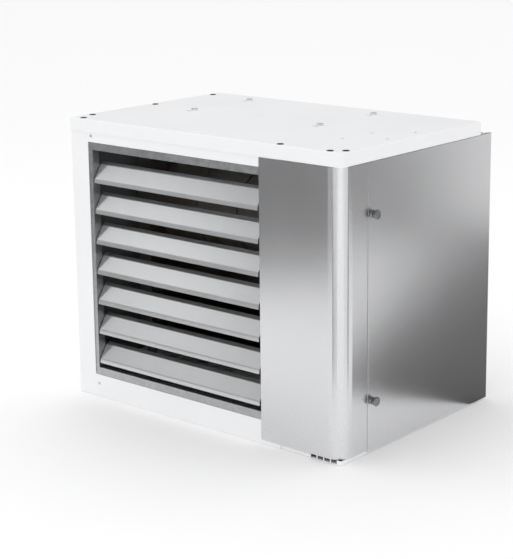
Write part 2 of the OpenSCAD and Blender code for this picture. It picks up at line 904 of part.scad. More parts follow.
// Angle feet under the header and the smoke box
module exchanger_stand() {
    color("silver") in_casing() for (x = [header_left, smoke_left]) {
        for (y = [exchanger_y - header_d / 2 + header_round,
                exchanger_y + header_d / 2 - header_round - stand_w]) {
            block([x, y, floor_z], [x + stand_t, y + stand_w, header_foot - skin_gap]);
            block([x, y, floor_z], [x + stand_w, y + stand_w, floor_z + stand_t]);
            block([x, y, header_foot - skin_gap - stand_t],
                [x + stand_w, y + stand_w, header_foot - skin_gap]);
        }
    }
}

// Burner: flange on the divider and the flame tube inside the chamber
module burner_head() {
    flange = divider_right + skin_gap;
    color("silver") in_casing() difference() {
        union() {
            bar_x(burner_flange_r, flange, flange + burner_flange_t, exchanger_y, chamber_z);
            bar_x(burner_tube_r, flange - burner_tube_len, flange, exchanger_y, chamber_z);
        }
        bar_x(burner_tube_r - burner_wall, flange - burner_tube_len + burner_wall,
            flange + burner_flange_t + cut, exchanger_y, chamber_z);
        for (p = electrode_places) {
            bar_x(electrode_rod_r + skin_gap, flange - cut, flange + burner_flange_t + cut,
                exchanger_y + p.x, chamber_z + p.y);
        }
    }
}

// Ignition and flame sensing electrodes on the burner flange
module ignition_electrodes() {
    seat = divider_right + skin_gap + burner_flange_t;
    color("ivory") in_casing() for (p = electrode_places) {
        bar_x(electrode_r, seat, seat + electrode_len, exchanger_y + p.x, chamber_z + p.y);
        bar_x(electrode_rod_r, seat - burner_flange_t - electrode_in, seat,
            exchanger_y + p.x, chamber_z + p.y);
    }
}

// Outline of the blower's scroll with its throat towards the burner
module scroll_outline(in) {
    throat_left = divider_right + 2 * skin_gap + burner_flange_t;
    translate([blower_x, blower_z]) circle(blower_r - in);
    translate([blower_x, blower_z + blower_grow]) intersection() {
        circle(blower_r - in);
        quadrant(blower_r, -1, 1);
    }
    translate([throat_left - (in > 0 ? cut : 0), blower_top - blower_throat + in])
        square([blower_x - throat_left + (in > 0 ? cut : 0), blower_throat - 2 * in]);
}

module blower_housing() {
    color("gray") in_casing() difference() {
        along_y(blower_front, blower_back) scroll_outline(0);
        along_y(blower_front + blower_wall, blower_back - blower_wall) scroll_outline(blower_wall);
        bar_y(blower_eye_r, blower_front - cut, blower_front + blower_wall + cut, blower_x, blower_z);
        bar_y(wheel_hub_r + skin_gap, blower_back - blower_wall - cut, blower_back + cut,
            blower_x, blower_z);
    }
}

// Radial wheel with its shaft, which runs in the motor's bore
module blower_impeller() {
    back = blower_back - blower_wall - wheel_gap;
    front = back - wheel_t - 2 * wheel_plate;
    color("dimgray") in_casing() {
        bar_y(wheel_r, back - wheel_plate, back, blower_x, blower_z);
        bar_y(wheel_hub_r, back - wheel_t / 2, back + wheel_gap / 2, blower_x, blower_z);
        bar_y(wheel_shaft_r, back, blower_back + skin_gap + motor_bore - cut, blower_x, blower_z);
        for (i = [0 : wheel_blades - 1]) {
            translate([blower_x, back, blower_z]) rotate([0, i * 360 / wheel_blades, 0])
                block([wheel_r - wheel_rim + wheel_lap, -wheel_t - 2 * wheel_plate + wheel_lap, 0],
                    [wheel_r - wheel_lap, -wheel_lap, wheel_blade_t]);
        }
        difference() {
            bar_y(wheel_r, front, front + wheel_plate, blower_x, blower_z);
            bar_y(wheel_r - wheel_rim, front - cut, front + wheel_plate + cut, blower_x, blower_z);
        }
    }
}

// Motor of the combustion blower, with cooling fins
module blower_motor() {
    front = blower_back + skin_gap;
    color("black") in_casing() difference() {
        union() {
            bar_y(motor_r, front, front + motor_len, blower_x, blower_z);
            for (i = [0 : motor_fins - 1]) {
                translate([blower_x, front + motor_len / 4, blower_z])
                    rotate([0, i * 360 / motor_fins, 0])
                    translate([motor_r - fin_up, 0, -fin_t / 2])
                    cube([2 * fin_up, motor_len / 2, fin_t]);
            }
        }
        bar_y(wheel_shaft_r + fit, front - cut, front + motor_bore, blower_x, blower_z);
    }
}

// Gas valve with its coil and the mixer on the blower's eye
module gas_valve() {
    mixer_back = blower_front - skin_gap;
    color("goldenrod") in_casing() {
        difference() {
            bar_y(mixer_r, mixer_back - mixer_len, mixer_back, blower_x, blower_z);
            bar_y(blower_eye_r, mixer_back - mixer_len / 2, mixer_back + cut, blower_x, blower_z);
        }
        block([blower_x - valve_w / 2, valve_y, blower_z - valve_h / 2],
            [blower_x + valve_w / 2, valve_y + valve_d + skin_gap, blower_z + valve_h / 2]);
        bar_z(coil_r, blower_z + valve_h / 2, blower_z + valve_h / 2 + coil_h,
            blower_x, valve_y + valve_d / 2);
        bar_y(coil_r / 2, valve_y - coil_h / 2, valve_y, blower_x, blower_z);
    }
}

// Bend of a pipe: quarter turn from the direction -Y into +Z
module gas_bend_piece(r) {
    rotate([0, -90, 0]) rotate_extrude(angle = 90) translate([gas_bend, 0]) circle(r);
}

// Pipe from the rear inlet to the valve's underside
module gas_pipe() {
    start = rear_inner - skin_gap;
    color("gold") in_casing() {
        bar_y(gas_pipe_r, riser_y + gas_bend, start, gas_x, gas_z);
        translate([gas_x, riser_y + gas_bend, gas_z + gas_bend]) rotate([180, 0, 0])
            gas_bend_piece(gas_pipe_r);
        bar_z(gas_pipe_r, gas_z + gas_bend, riser_top, gas_x, riser_y);
    }
}

// Threaded nipple at the rear with its lock nut
module gas_inlet() {
    color("goldenrod") in_casing() difference() {
        union() {
            bar_y(gas_r, rear_inner, rear_face + gas_out, gas_x, gas_z);
            translate([gas_x, rear_face + skin_gap + gas_nut_h, gas_z]) rotate([90, 0, 0])
                cylinder(r = gas_nut_r, h = gas_nut_h, $fn = 6);
        }
        bar_y(gas_r - gas_wall, rear_inner + gas_wall, rear_face + gas_out + cut, gas_x, gas_z);
    }
}

// Flue pipe from the smoke box through the compartment to the rear
module flue_path(r, over) {
    bar_x(r, smoke_right + skin_gap - over, flue_x - flue_bend, exchanger_y, flue_z);
    translate([flue_x - flue_bend, exchanger_y + flue_bend, flue_z]) rotate([0, 0, -90])
        rotate_extrude(angle = 90) translate([flue_bend, 0]) circle(r);
    bar_y(r, exchanger_y + flue_bend, rear_inner - spigot_in - skin_gap + over, flue_x, flue_z);
}

module flue_duct() {
    color("silver") in_casing() difference() {
        flue_path(spigot_r, 0);
        flue_path(spigot_r - duct_wall, cut);
    }
}

// Spigot with a flange on the rear panel
module spigot(z) {
    end = rear_face + spigot_len;
    difference() {
        union() {
            bar_y(spigot_r, rear_inner - spigot_in, end, flue_x, z);
            bar_y(spigot_flange_r, rear_face, rear_face + spigot_flange_t, flue_x, z);
        }
        bar_y(spigot_r - duct_wall, rear_inner - spigot_in - cut, end + cut, flue_x, z);
    }
}

module flue_spigot() {
    color("silver") in_casing() spigot(flue_z);
}

module air_spigot() {
    color("silver") in_casing() spigot(air_z);
}

// Control box on the divider, with its cover
module control_box() {
    left = divider_right + skin_gap;
    color("lightgray") in_casing() {
        difference() {
            block([left, box_y, box_z], [left + box_w, box_y + box_d, box_z + box_h]);
            block([left + box_wall, box_y + box_wall, box_z + box_wall],
                [left + box_w - box_wall, box_y + box_d - box_wall, box_z + box_h - box_wall]);
        }
        block([left + box_w, box_y + box_wall, box_z + box_wall],
            [left + box_w + box_lid, box_y + box_d - box_wall, box_z + box_h - box_wall]);
    }
}

// Limit thermostat with its two terminals
module limit_thermostat() {
    left = divider_right + skin_gap;
    color("dimgray") in_casing() {
        block([left, stat_y - 2 * stat_r, stat_z - stat_r],
            [left + stat_plate, stat_y + 2 * stat_r, stat_z + stat_r]);
        bar_x(stat_r, left + stat_plate, left + stat_plate + stat_h, stat_y, stat_z);
        for (y = [stat_y - stat_r / 2, stat_y + stat_r / 2]) {
            block([left + stat_plate + stat_h, y - stat_plate, stat_z - stat_plate / 2],
                [left + stat_plate + 2 * stat_h, y + stat_plate, stat_z + stat_plate / 2]);
        }
    }
}

// Cable glands in the rear panel
module cable_glands() {
    color("black") in_casing() for (z = gland_places) {
        difference() {
            union() {
                bar_y(gland_hole_r, rear_inner - gland_nut_h, rear_face, gland_x, z);
                translate([gland_x, rear_face + gland_nut_h, z]) rotate([90, 0, 0])
                    cylinder(r = gland_r, h = gland_nut_h, $fn = 6);
                bar_y(gland_hole_r, rear_face, rear_face + gland_len, gland_x, z);
            }
            bar_y(gland_hole_r / 2, rear_inner - gland_nut_h - cut, rear_face + gland_len + cut,
                gland_x, z);
        }
    }
}

// Inlet ring of the fan: flange, rounded mouth and cylinder
module ring_outline() {
    translate([fan_ring_r + ring_round, 0]) square([ring_flange - ring_round, ring_wall]);
    translate([fan_ring_r + ring_round, -ring_round + ring_wall])
        quarter_ring(ring_round, ring_wall, -1, 1);
    translate([fan_ring_r, -ring_depth]) square([ring_wall, ring_depth - ring_round + ring_wall]);
}

module fan_ring() {
    color("dimgray") in_casing() translate([duct_mid, ring_face, fan_z])
        rotate([-90, 0, 0]) rotate_extrude() ring_outline();
}

// Wire guard: rings laid on slanted spokes round the plate that holds the motor
module fan_guard() {
    step = (guard_out_r - guard_in_r) / (guard_rings - 1);
    color("dimgray") in_casing() translate([duct_mid, 0, fan_z]) {
        for (i = [0 : guard_rings - 1]) {
            r = guard_in_r + i * step;
            translate([0, guard_flat - (r - spoke_in_r) * tan(guard_slope) + wire_step, 0])
                rotate([90, 0, 0]) rotate_extrude()
                translate([r, 0]) circle(guard_wire_r, $fn = 24);
        }
        translate([0, guard_flat + guard_wire_r, 0]) rotate([90, 0, 0])
            cylinder(r = guard_in_r - 2 * guard_wire_r, h = guard_plate_t);
        for (i = [0 : guard_spokes - 1]) {
            rotate([0, i * 360 / guard_spokes, 0]) translate([spoke_in_r, guard_flat, 0])
                rotate([0, 0, -guard_slope]) rotate([0, 90, 0])
                cylinder(r = guard_wire_r, h = (spoke_out_r - spoke_in_r) / cos(guard_slope));
        }
    }
}

// Stator of the fan motor, carried by the guard's plate
module fan_motor() {
    back = guard_flat + guard_wire_r - guard_plate_t - weld_gap;
    color("black") in_casing() difference() {
        bar_y(stator_r, stator_front, back, duct_mid, fan_z);
        bar_y(fan_shaft_r + fit, stator_front - cut, stator_front + fan_shaft_len, duct_mid, fan_z);
    }
}

// Points of one fan blade section at radius r, share s of the way to the tip
function blade_ring(s) = let (
    r = fan_hub_r - blade_sink + s * (fan_tip_r - fan_hub_r + blade_sink),
    chord = blade_root_chord + s * (blade_tip_chord - blade_root_chord),
    pitch = root_angle + s * (tip_angle - root_angle),
    sweep = sweep_angle * s * s)
    concat(
        [for (k = [0 : chord_steps]) blade_point(r, chord, pitch, sweep, k / chord_steps, 1)],
        [for (k = [chord_steps - 1 : -1 : 1])
            blade_point(r, chord, pitch, sweep, k / chord_steps, -1)]);
function blade_point(r, chord, pitch, sweep, c, face) = let (
    along = (c - 1 / 2) * chord,
    up = blade_camber * 4 * c * (1 - c) + face * fan_blade_t / 2 * sqrt(max(0, 4 * c * (1 - c))),
    round_way = along * cos(pitch) - up * sin(pitch),
    axial = along * sin(pitch) + up * cos(pitch),
    angle = sweep + round_way / r * 180 / PI)
    [r * cos(angle), axial, r * sin(angle)];

// Solid between equal rings of points
module loft(rings) {
    n = len(rings[0]);
    last = len(rings) - 1;
    polyhedron(
        points = [for (ring = rings, p = ring) p],
        faces = concat(
            [[for (k = [0 : n - 1]) k]],
            [for (j = [0 : last - 1], k = [0 : n - 1], half = [0, 1]) let (
                a = j * n + k, b = j * n + (k + 1) % n)
                half == 0 ? [a, a + n, b] : [b, a + n, b + n]],
            [[for (k = [n - 1 : -1 : 0]) last * n + k]]),
        convexity = 4);
}

// Fan wheel: cup shaped hub on its shaft with swept, twisted blades
module fan_rotor() {
    mid = (hub_front + hub_back) / 2;
    color("dimgray") in_casing() translate([duct_mid, 0, fan_z]) {
        difference() {
            union() {
                bar_y(fan_hub_r, hub_front, hub_back, 0, 0);
                for (i = [0 : fan_blades - 1]) {
                    translate([0, mid, 0]) rotate([0, i * 360 / fan_blades, 0])
                        loft([for (j = [0 : blade_steps]) blade_ring(j / blade_steps)]);
                }
            }
            bar_y(fan_hub_r - hub_wall - blade_sink, hub_front + hub_wall, hub_back + 2 * hub_len, 0, 0);
        }
        bar_y(fan_shaft_r, hub_front, stator_front + fan_shaft_len - cut, 0, 0);
    }
}

// Door outline seen from above: seam fold, face, rounded rear edge and rear fold
module door_outline() {
    translate([casing_w - seam_fold, door_front]) square([seam_fold, skin]);
    translate([casing_w - skin, door_front]) square([skin, door_back - door_round - door_front]);
    translate([casing_w - door_round, door_back - door_round]) quarter_ring(door_round, skin, 1, 1);
    translate([casing_w - door_fold, door_back - skin]) square([door_fold - door_round, skin]);
}

// Lug of the door round a hinge pin
module door_lug(z) {
    block([hinge_x, hinge_y - lug_r, z], [casing_w - skin / 2, hinge_y + lug_r, z + lug_t]);
    bar_z(lug_r, z, z + lug_t, hinge_x, hinge_y);
}

module side_door() {
    lug_top = door_top - lug_t;
    color("lightgray") in_casing() difference() {
        union() {
            translate([0, 0, door_bottom]) linear_extrude(door_top - door_bottom) door_outline();
            block([casing_w - door_fold, door_front, door_top - skin],
                [casing_w - skin / 2, door_back - door_round, door_top]);
            door_lug(lug_top);
            door_lug(lug_low_z);
            for (z = [knob_low_z, knob_high_z]) {
                bar_x(knob_bush_r, casing_w - skin - knob_bush_h, casing_w - skin / 2, knob_y, z);
            }
        }
        block([casing_w - 2 * seam_fold, door_front - cut, door_bottom - cut],
            [casing_w - skin, door_back + cut, tray_lip_h + skin_gap]);
        bar_z(hinge_r + fit, lug_top - cut, door_top + cut, hinge_x, hinge_y);
        bar_z(hinge_r + fit, lug_low_z - cut, lug_low_z + lug_t + cut, hinge_x, hinge_y);
        for (z = [knob_low_z, knob_high_z]) {
            bar_x(knob_stem_r + fit, casing_w - skin - knob_bush_h - cut, casing_w + cut, knob_y, z);
        }
    }
}

// Angle brackets on the rear panel with a tongue under each door lug
module hinge_bracket(top) {
    face = rear_face;
    block([hinge_x - tongue_r, face, top - bracket_t], [hinge_x + tongue_r, hinge_y, top]);
    bar_z(tongue_r, top - bracket_t, top, hinge_x, hinge_y);
    block([hinge_x + tongue_r - bracket_w, face, top - bracket_h],
        [hinge_x + tongue_r, face + bracket_t, top]);
}

module hinge_brackets() {
    color("silver") in_casing() difference() {
        for (top = [lug_low_z - skin_gap, door_top - lug_t - skin_gap]) {
            hinge_bracket(top);
        }
        for (top = [lug_low_z - skin_gap, door_top - lug_t - skin_gap]) {
            bar_z(hinge_r + fit, top - bracket_t - cut, top + cut, hinge_x, hinge_y);
        }
    }
}

// Hinge pins, fixed in the brackets
module hinge_pins() {
    color("dimgray") in_casing() {
        bar_z(hinge_r, lug_low_z - skin_gap - bracket_t, lug_low_z + lug_t + bracket_t,
            hinge_x, hinge_y);
        bar_z(hinge_r, door_top - lug_t - skin_gap - bracket_t, door_top + skin_gap,
            hinge_x, hinge_y);
        bar_z(pin_head_r, door_top + skin_gap, door_top + skin_gap + pin_head_h, hinge_x, hinge_y);
    }
}

// Quarter turn knob: base disc, stem and gripped head
module door_knob(z) {
    out = casing_w + skin_gap;
    end = casing_w + knob_out;
    color("dimgray") in_casing() difference() {
        union() {
            bar_x(knob_base_r, out, out + knob_base_h, knob_y, z);
            bar_x(knob_stem_r, cam_x, end - knob_head_h, knob_y, z);
            bar_x(knob_r, end - knob_head_h, end, knob_y, z);
            bar_x(cam_bore_r, cam_x - cam_t - skin_gap, cam_x, knob_y, z);
        }
        for (i = [0 : knob_grips - 1]) {
            translate([0, knob_y, z]) rotate([i * 360 / knob_grips, 0, 0])
                bar_x(knob_base_h / 2, end - knob_head_h - cut, end + cut, knob_r + knob_base_h / 4, 0);
        }
    }
}

// Cam on the inner end of a knob; it stands upright while the door is free
module knob_cam(z) {
    color("silver") in_casing() difference() {
        union() {
            bar_x(cam_w / 2, cam_x - cam_t, cam_x, knob_y, z);
            block([cam_x - cam_t, knob_y - cam_w / 2, z],
                [cam_x, knob_y + cam_w / 2, z + cam_reach]);
        }
        bar_x(cam_bore_r + fit / 2, cam_x - cam_t - cut, cam_x + cut, knob_y, z);
    }
}

lid();
hanger_rails();
hanger_bosses();
lid_plugs();
lid_rivets();
base_tray();
front_frame();
frame_screws();
left_panel();
rear_panel();
divider_panel();
corner_cover();
latch_post();
latch_strikers();
louvre_frame();
louvre_bushes();
louvre_blade(1);  // louvre_blade_1
louvre_blade(2);  // louvre_blade_2
louvre_blade(3);  // louvre_blade_3
louvre_blade(4);  // louvre_blade_4
louvre_blade(5);  // louvre_blade_5
louvre_blade(6);  // louvre_blade_6
louvre_blade(7);  // louvre_blade_7
louvre_pivots(1);  // louvre_pivots_1
louvre_pivots(2);  // louvre_pivots_2
louvre_pivots(3);  // louvre_pivots_3
louvre_pivots(4);  // louvre_pivots_4
louvre_pivots(5);  // louvre_pivots_5
louvre_pivots(6);  // louvre_pivots_6
louvre_pivots(7);  // louvre_pivots_7
combustion_chamber();
return_header();
exchanger_tubes();
smoke_box();
exchanger_stand();
burner_head();
ignition_electrodes();
blower_housing();
blower_impeller();
blower_motor();
gas_valve();
gas_pipe();
gas_inlet();
flue_duct();
flue_spigot();
air_spigot();
control_box();
limit_thermostat();
cable_glands();
fan_ring();
fan_guard();
fan_motor();
fan_rotor();
side_door();
hinge_brackets();
hinge_pins();
door_knob(knob_high_z);  // door_knob_upper
door_knob(knob_low_z);  // door_knob_lower
knob_cam(knob_high_z);  // knob_cam_upper
knob_cam(knob_low_z);  // knob_cam_lower
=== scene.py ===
"""Gas unit heater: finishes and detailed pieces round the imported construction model."""

import json
import math

import bmesh
import bpy
from mathutils import Matrix, Vector


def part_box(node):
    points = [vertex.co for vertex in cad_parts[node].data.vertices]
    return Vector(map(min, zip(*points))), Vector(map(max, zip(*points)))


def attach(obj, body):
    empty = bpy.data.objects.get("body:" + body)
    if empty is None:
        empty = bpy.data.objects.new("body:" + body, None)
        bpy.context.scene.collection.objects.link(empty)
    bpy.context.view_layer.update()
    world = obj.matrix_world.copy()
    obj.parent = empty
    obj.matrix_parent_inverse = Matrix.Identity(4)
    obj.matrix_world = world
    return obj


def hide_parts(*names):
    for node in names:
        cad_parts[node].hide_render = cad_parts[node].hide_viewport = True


bl_info = {
    "name": "Gas unit heater",
    "version": (1, 0, 0),
    "blender": (4, 5, 0),
    "location": "View3D > Sidebar > Heater",
    "description": "Dresses a suspended gas unit heater: sheet metal, louvres, fan and studio",
    "category": "Add Mesh",
}

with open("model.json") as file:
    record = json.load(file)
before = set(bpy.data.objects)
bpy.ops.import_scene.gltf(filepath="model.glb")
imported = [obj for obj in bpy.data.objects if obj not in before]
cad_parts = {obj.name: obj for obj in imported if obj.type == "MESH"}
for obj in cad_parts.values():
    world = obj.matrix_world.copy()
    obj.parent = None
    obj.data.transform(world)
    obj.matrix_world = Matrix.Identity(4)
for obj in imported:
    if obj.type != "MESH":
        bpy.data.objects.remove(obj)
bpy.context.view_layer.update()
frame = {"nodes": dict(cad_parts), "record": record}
CAD = frame["nodes"]
MM = 0.001
# Distance in metres within which two places count as one
NEAR = 0.0001
FOOT = Vector((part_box("lid")[0].x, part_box("lid")[0].y, 0))
FINISH_OF = {row["node"]: row["material_slot"] for row in frame["record"]["subparts"]}
BODY_OF = {n: b for b, names in frame["record"]["behaviour"]["bodies"].items() for n in names}
FINISHES = {}


def at(x, y, z):
    """Point in metres from millimetres counted from the casing's front left foot."""
    return FOOT + Vector((x, y, z)) * MM


def to_mm(point):
    """Millimetres from the casing's front left foot."""
    return (point - FOOT) / MM


def low(node):
    return to_mm(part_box(node)[0])


def high(node):
    return to_mm(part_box(node)[1])


def middle(node):
    a, b = low(node), high(node)
    return [(a[axis] + b[axis]) / 2 for axis in range(3)]


# ---- finishes ----


class Wire:
    """An output of a node; sums and products of wires add Math nodes."""

    def __init__(self, recipe, socket):
        self.recipe = recipe
        self.socket = socket

    def _math(self, operation, first, second):
        return self.recipe.node("ShaderNodeMath", {"operation": operation}, {0: first, 1: second})

    def __add__(self, other):
        return self._math("ADD", self, other)

    def __sub__(self, other):
        return self._math("SUBTRACT", self, other)

    def __rsub__(self, other):
        return self._math("SUBTRACT", other, self)

    def __mul__(self, other):
        return self._math("MULTIPLY", self, other)

    __radd__ = __add__
    __rmul__ = __mul__

    def larger(self, other):
        return self._math("MAXIMUM", self, other)

    def below(self, limit):
        return self._math("LESS_THAN", self, limit)


class Recipe:
    """A material and the nodes that make its pattern."""

    def __init__(self, name, **uniform):
        self.material = bpy.data.materials.new(name)
        self.material.use_nodes = True
        self.tree = self.material.node_tree
        self.tree.nodes.clear()
        output = self.tree.nodes.new("ShaderNodeOutputMaterial")
        self.shader = self.tree.nodes.new("ShaderNodeBsdfPrincipled")
        self.tree.links.new(self.shader.outputs[0], output.inputs[0])
        for socket, value in uniform.items():
            self.shader.inputs[socket.replace("_", " ")].default_value = value

    def node(self, kind, settings=None, inputs=None, out=0):
        made = self.tree.nodes.new(kind)
        for key, value in (settings or {}).items():
            if key == "stops":
                self.set_stops(made.color_ramp, value)
            else:
                setattr(made, key, value)
        for key, value in (inputs or {}).items():
            if isinstance(value, Wire):
                self.tree.links.new(value.socket, made.inputs[key])
            else:
                made.inputs[key].default_value = value
        return Wire(self, made.outputs[out])

    @staticmethod
    def set_stops(ramp, stops):
        while len(ramp.elements) < len(stops):
            ramp.elements.new(1)
        for element, (place, shade) in zip(ramp.elements, stops):
            element.position = place
            element.color = (shade, shade, shade, 1)

    def place(self, scale=(1, 1, 1)):
        """Object coordinates, squeezed by a scale along each axis."""
        spot = self.node("ShaderNodeTexCoord", out=3)
        return self.node("ShaderNodeMapping", None, {"Vector": spot, "Scale": scale})

    def noise(self, scale, detail=2.0, stretch=(1, 1, 1), roughness=0.5):
        inputs = {"Vector": self.place(stretch), "Scale": scale}
        inputs |= {"Detail": detail, "Roughness": roughness}
        return self.node("ShaderNodeTexNoise", None, inputs)

    def cells(self, scale):
        """Patches, each of one random value."""
        inputs = {"Vector": self.place(), "Scale": scale}
        spots = self.node("ShaderNodeTexVoronoi", {"feature": "F1"}, inputs, 1)
        return self.node("ShaderNodeSeparateColor", None, {0: spots})

    def ramp(self, value, *stops):
        return self.node("ShaderNodeValToRGB", {"stops": stops}, {0: value})

    def tint(self, share, first, second):
        """The first colour where the share is nought, the second where it is one."""
        first, second = (c if isinstance(c, Wire) else (*c, 1) for c in (first, second))
        inputs = {0: share, 6: first, 7: second}
        return self.node("ShaderNodeMix", {"data_type": "RGBA"}, inputs, 2)

    def inside(self, first, last):
        """One within the box between two points, nought outside it."""
        spot = self.place()
        for operation, by in (("SUBTRACT", (first + last) / 2), ("DIVIDE", (last - first) / 2)):
            spot = self.node("ShaderNodeVectorMath", {"operation": operation}, {0: spot, 1: by})
        spot = self.node("ShaderNodeVectorMath", {"operation": "ABSOLUTE"}, {0: spot})
        x, y, z = (self.node("ShaderNodeSeparateXYZ", None, {0: spot}, axis) for axis in range(3))
        return x.larger(y).larger(z).below(1.0)

    def bump(self, height, strength, depth):
        """Relief whose depth is in millimetres."""
        inputs = {"Height": height, "Strength": strength, "Distance": depth * MM}
        return self.node("ShaderNodeBump", None, inputs)

    def wear(self, **wires):
        for socket, wire in wires.items():
            self.tree.links.new(wire.socket, self.shader.inputs[socket.replace("_", " ")])
        return self.material


def shade(colour, share):
    return tuple(min(1.0, c * share) for c in colour)


def dusty(colour, dust):
    return tuple(c + dust for c in colour)


# What the dark grey backing coat covers, in millimetres: all within the white sheets; a real
# backing coat made near black as painted shade inside the casing
SHADED_BACKING_SKIN = 0.6
SHADED_BACKING_FROM = (3, 60)
SHADED_BACKING_TO = (832, 536, 664)


def powder_coat(name, colour, rough):
    """Baked powder paint with faint orange peel, and inside the casing a grey backing coat
    darkened as painted shade.
    """
    r = Recipe(name, Coat_Weight=0.12, Coat_Roughness=0.25)
    peel = r.noise(900, 2) * 0.7 + r.noise(320, 1) * 0.3
    cloud = r.noise(6, 3)
    paint = r.tint(r.ramp(cloud, (0.3, 0), (0.7, 1)), shade(colour, 0.975), colour)
    # backing coat at about a sixth of the white: partly a real grey backing coat, partly painted
    # shade inside the casing
    backing_and_painted_shade = r.tint(cloud, shade(colour, 0.16), shade(colour, 0.19))
    # mask of the inside of the casing, where the painted shade goes
    shaded_inside = r.inside(at(low("left_panel").x + SHADED_BACKING_SKIN, *SHADED_BACKING_FROM), at(*SHADED_BACKING_TO))
    return r.wear(
        Base_Color=r.tint(shaded_inside, paint, backing_and_painted_shade),
        Roughness=r.noise(40, 2) * 0.08 + cloud * 0.06 + (rough - 0.07),
        Normal=r.bump(peel, 0.35, 0.06),
    )


def brushed(name, colour, rough):
    """Stainless sheet with fine upright lines."""
    r = Recipe(name, Metallic=1.0)
    fine = r.noise(600, 4, (1, 1, 0.2), 0.78)
    smudge = r.noise(9, 3)
    return r.wear(
        Base_Color=r.tint(r.ramp(fine, (0.3, 0), (0.7, 1)), shade(colour, 0.83), colour),
        Roughness=smudge * 0.04 + (rough - 0.02),
        Normal=r.bump(fine, 0.004, 0.01),
    )


def rolled_sheet(name, colour, rough):
    """Plain rolled aluminium: a satin grain along the strip and faint handling marks."""
    r = Recipe(name, Metallic=0.92)
    grain = r.noise(700, 3, (0.03, 1, 1), 0.6)
    marks = r.noise(14, 4)
    return r.wear(
        Base_Color=r.tint(r.ramp(marks, (0.35, 0), (0.7, 1)), shade(colour, 0.93), colour),
        Roughness=grain * 0.06 + marks * 0.06 + (rough - 0.06),
        Normal=r.bump(grain, 0.05, 0.03),
    )


def galvanised(name, colour, rough):
    """Zinc coated sheet with its spangle of crystals."""
    r = Recipe(name, Metallic=0.95)
    spangle = r.cells(95) * 0.6 + r.cells(190) * 0.4
    haze = r.noise(18, 3)
    return r.wear(
        Base_Color=r.tint(spangle, shade(colour, 0.82), shade(colour, 1.08)),
        Roughness=spangle * 0.18 + haze * 0.12 + (rough - 0.15),
        Normal=r.bump(spangle, 0.08, 0.05),
    )


def plated(name, colour, rough):
    """Electroplated turned steel with a slight bloom."""
    r = Recipe(name, Metallic=1.0)
    bloom = r.noise(160, 3)
    yellowed = (colour[0], colour[1] * 0.99, colour[2] * 0.95)
    return r.wear(
        Base_Color=r.tint(bloom, shade(colour, 0.9), yellowed),
        Roughness=bloom * 0.16 + (rough - 0.08),
        Normal=r.bump(r.noise(1200, 2), 0.12, 0.03),
    )


def zinc(name, colour, rough):
    """Pale zinc plating; on the knobs outside the door it is painted dark and fully metallic, a
    painted shade.
    """
    r = Recipe(name)
    bloom = r.noise(160, 3)
    across = r.node("ShaderNodeSeparateXYZ", None, {0: r.place()})
    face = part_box("side_door")[1].x
    # one beyond the door's face, on the knobs: where the painted shade goes
    outside_shaded = r.node("ShaderNodeMapRange", None, {0: across, 1: face, 2: face + MM})
    fresh = r.tint(bloom, shade(colour, 0.9), colour)
    # painted shade colour of the knobs outside the door
    painted_dark_knob = r.tint(bloom, shade(colour, 0.36), shade(colour, 0.44))
    return r.wear(
        Base_Color=r.tint(outside_shaded, fresh, painted_dark_knob),
        Metallic=outside_shaded * 0.38 + 0.6,
        Roughness=bloom * 0.16 + (rough - 0.08),
        Normal=r.bump(r.noise(1200, 2), 0.12, 0.03),
    )


def heated_steel(name, colour, rough):
    """Heat resisting steel with straw and brown temper colours."""
    r = Recipe(name, Metallic=0.95)
    heat = r.noise(7, 3)
    straw = r.ramp(heat, (0.42, 0), (0.68, 1))
    warm = (colour[0] * 0.86, colour[1] * 0.74, colour[2] * 0.58)
    return r.wear(
        Base_Color=r.tint(straw, colour, warm),
        Roughness=r.noise(120, 3) * 0.18 + heat * 0.1 + (rough - 0.14),
        Normal=r.bump(r.noise(600, 3), 0.2, 0.05),
    )


def moulded(name, colour, rough):
    """Plastic moulding with a fine eroded grain."""
    r = Recipe(name, IOR=1.49)
    grain = r.noise(2200, 2)
    dust = r.noise(55, 4)
    return r.wear(
        Base_Color=r.tint(r.ramp(dust, (0.45, 0), (0.8, 1)), colour, dusty(colour, 0.012)),
        Roughness=dust * 0.16 + grain * 0.06 + (rough - 0.1),
        Normal=r.bump(grain, 0.3, 0.06),
    )


def glazed(name, colour, rough):
    """Glazed ceramic with small iron specks."""
    r = Recipe(name, Coat_Weight=0.5, Coat_Roughness=0.08)
    speck = r.ramp(r.noise(900, 1), (0.7, 0), (0.74, 1))
    return r.wear(
        Base_Color=r.tint(speck, colour, shade(colour, 0.55)),
        Roughness=r.noise(60, 2) * 0.12 + rough,
        Normal=r.bump(r.noise(240, 2), 0.15, 0.06),
    )


def cast(name, colour, rough):
    """Die cast or sand cast metal with a dull, pitted skin."""
    r = Recipe(name, Metallic=0.9)
    pits = r.noise(420, 4, roughness=0.65)
    stain = r.noise(24, 3)
    return r.wear(
        Base_Color=r.tint(stain, shade(colour, 0.86), colour),
        Roughness=pits * 0.2 + stain * 0.1 + (rough - 0.15),
        Normal=r.bump(pits, 0.45, 0.15),
    )


def enamelled(name, colour, rough):
    """Dark sprayed enamel with light dust on it."""
    r = Recipe(name, Coat_Weight=0.2, Coat_Roughness=0.3)
    dust = r.noise(48, 4)
    return r.wear(
        Base_Color=r.tint(r.ramp(dust, (0.5, 0), (0.85, 1)), colour, dusty(colour, 0.03)),
        Roughness=dust * 0.2 + (rough - 0.1),
        Normal=r.bump(r.noise(700, 2), 0.35, 0.08),
    )


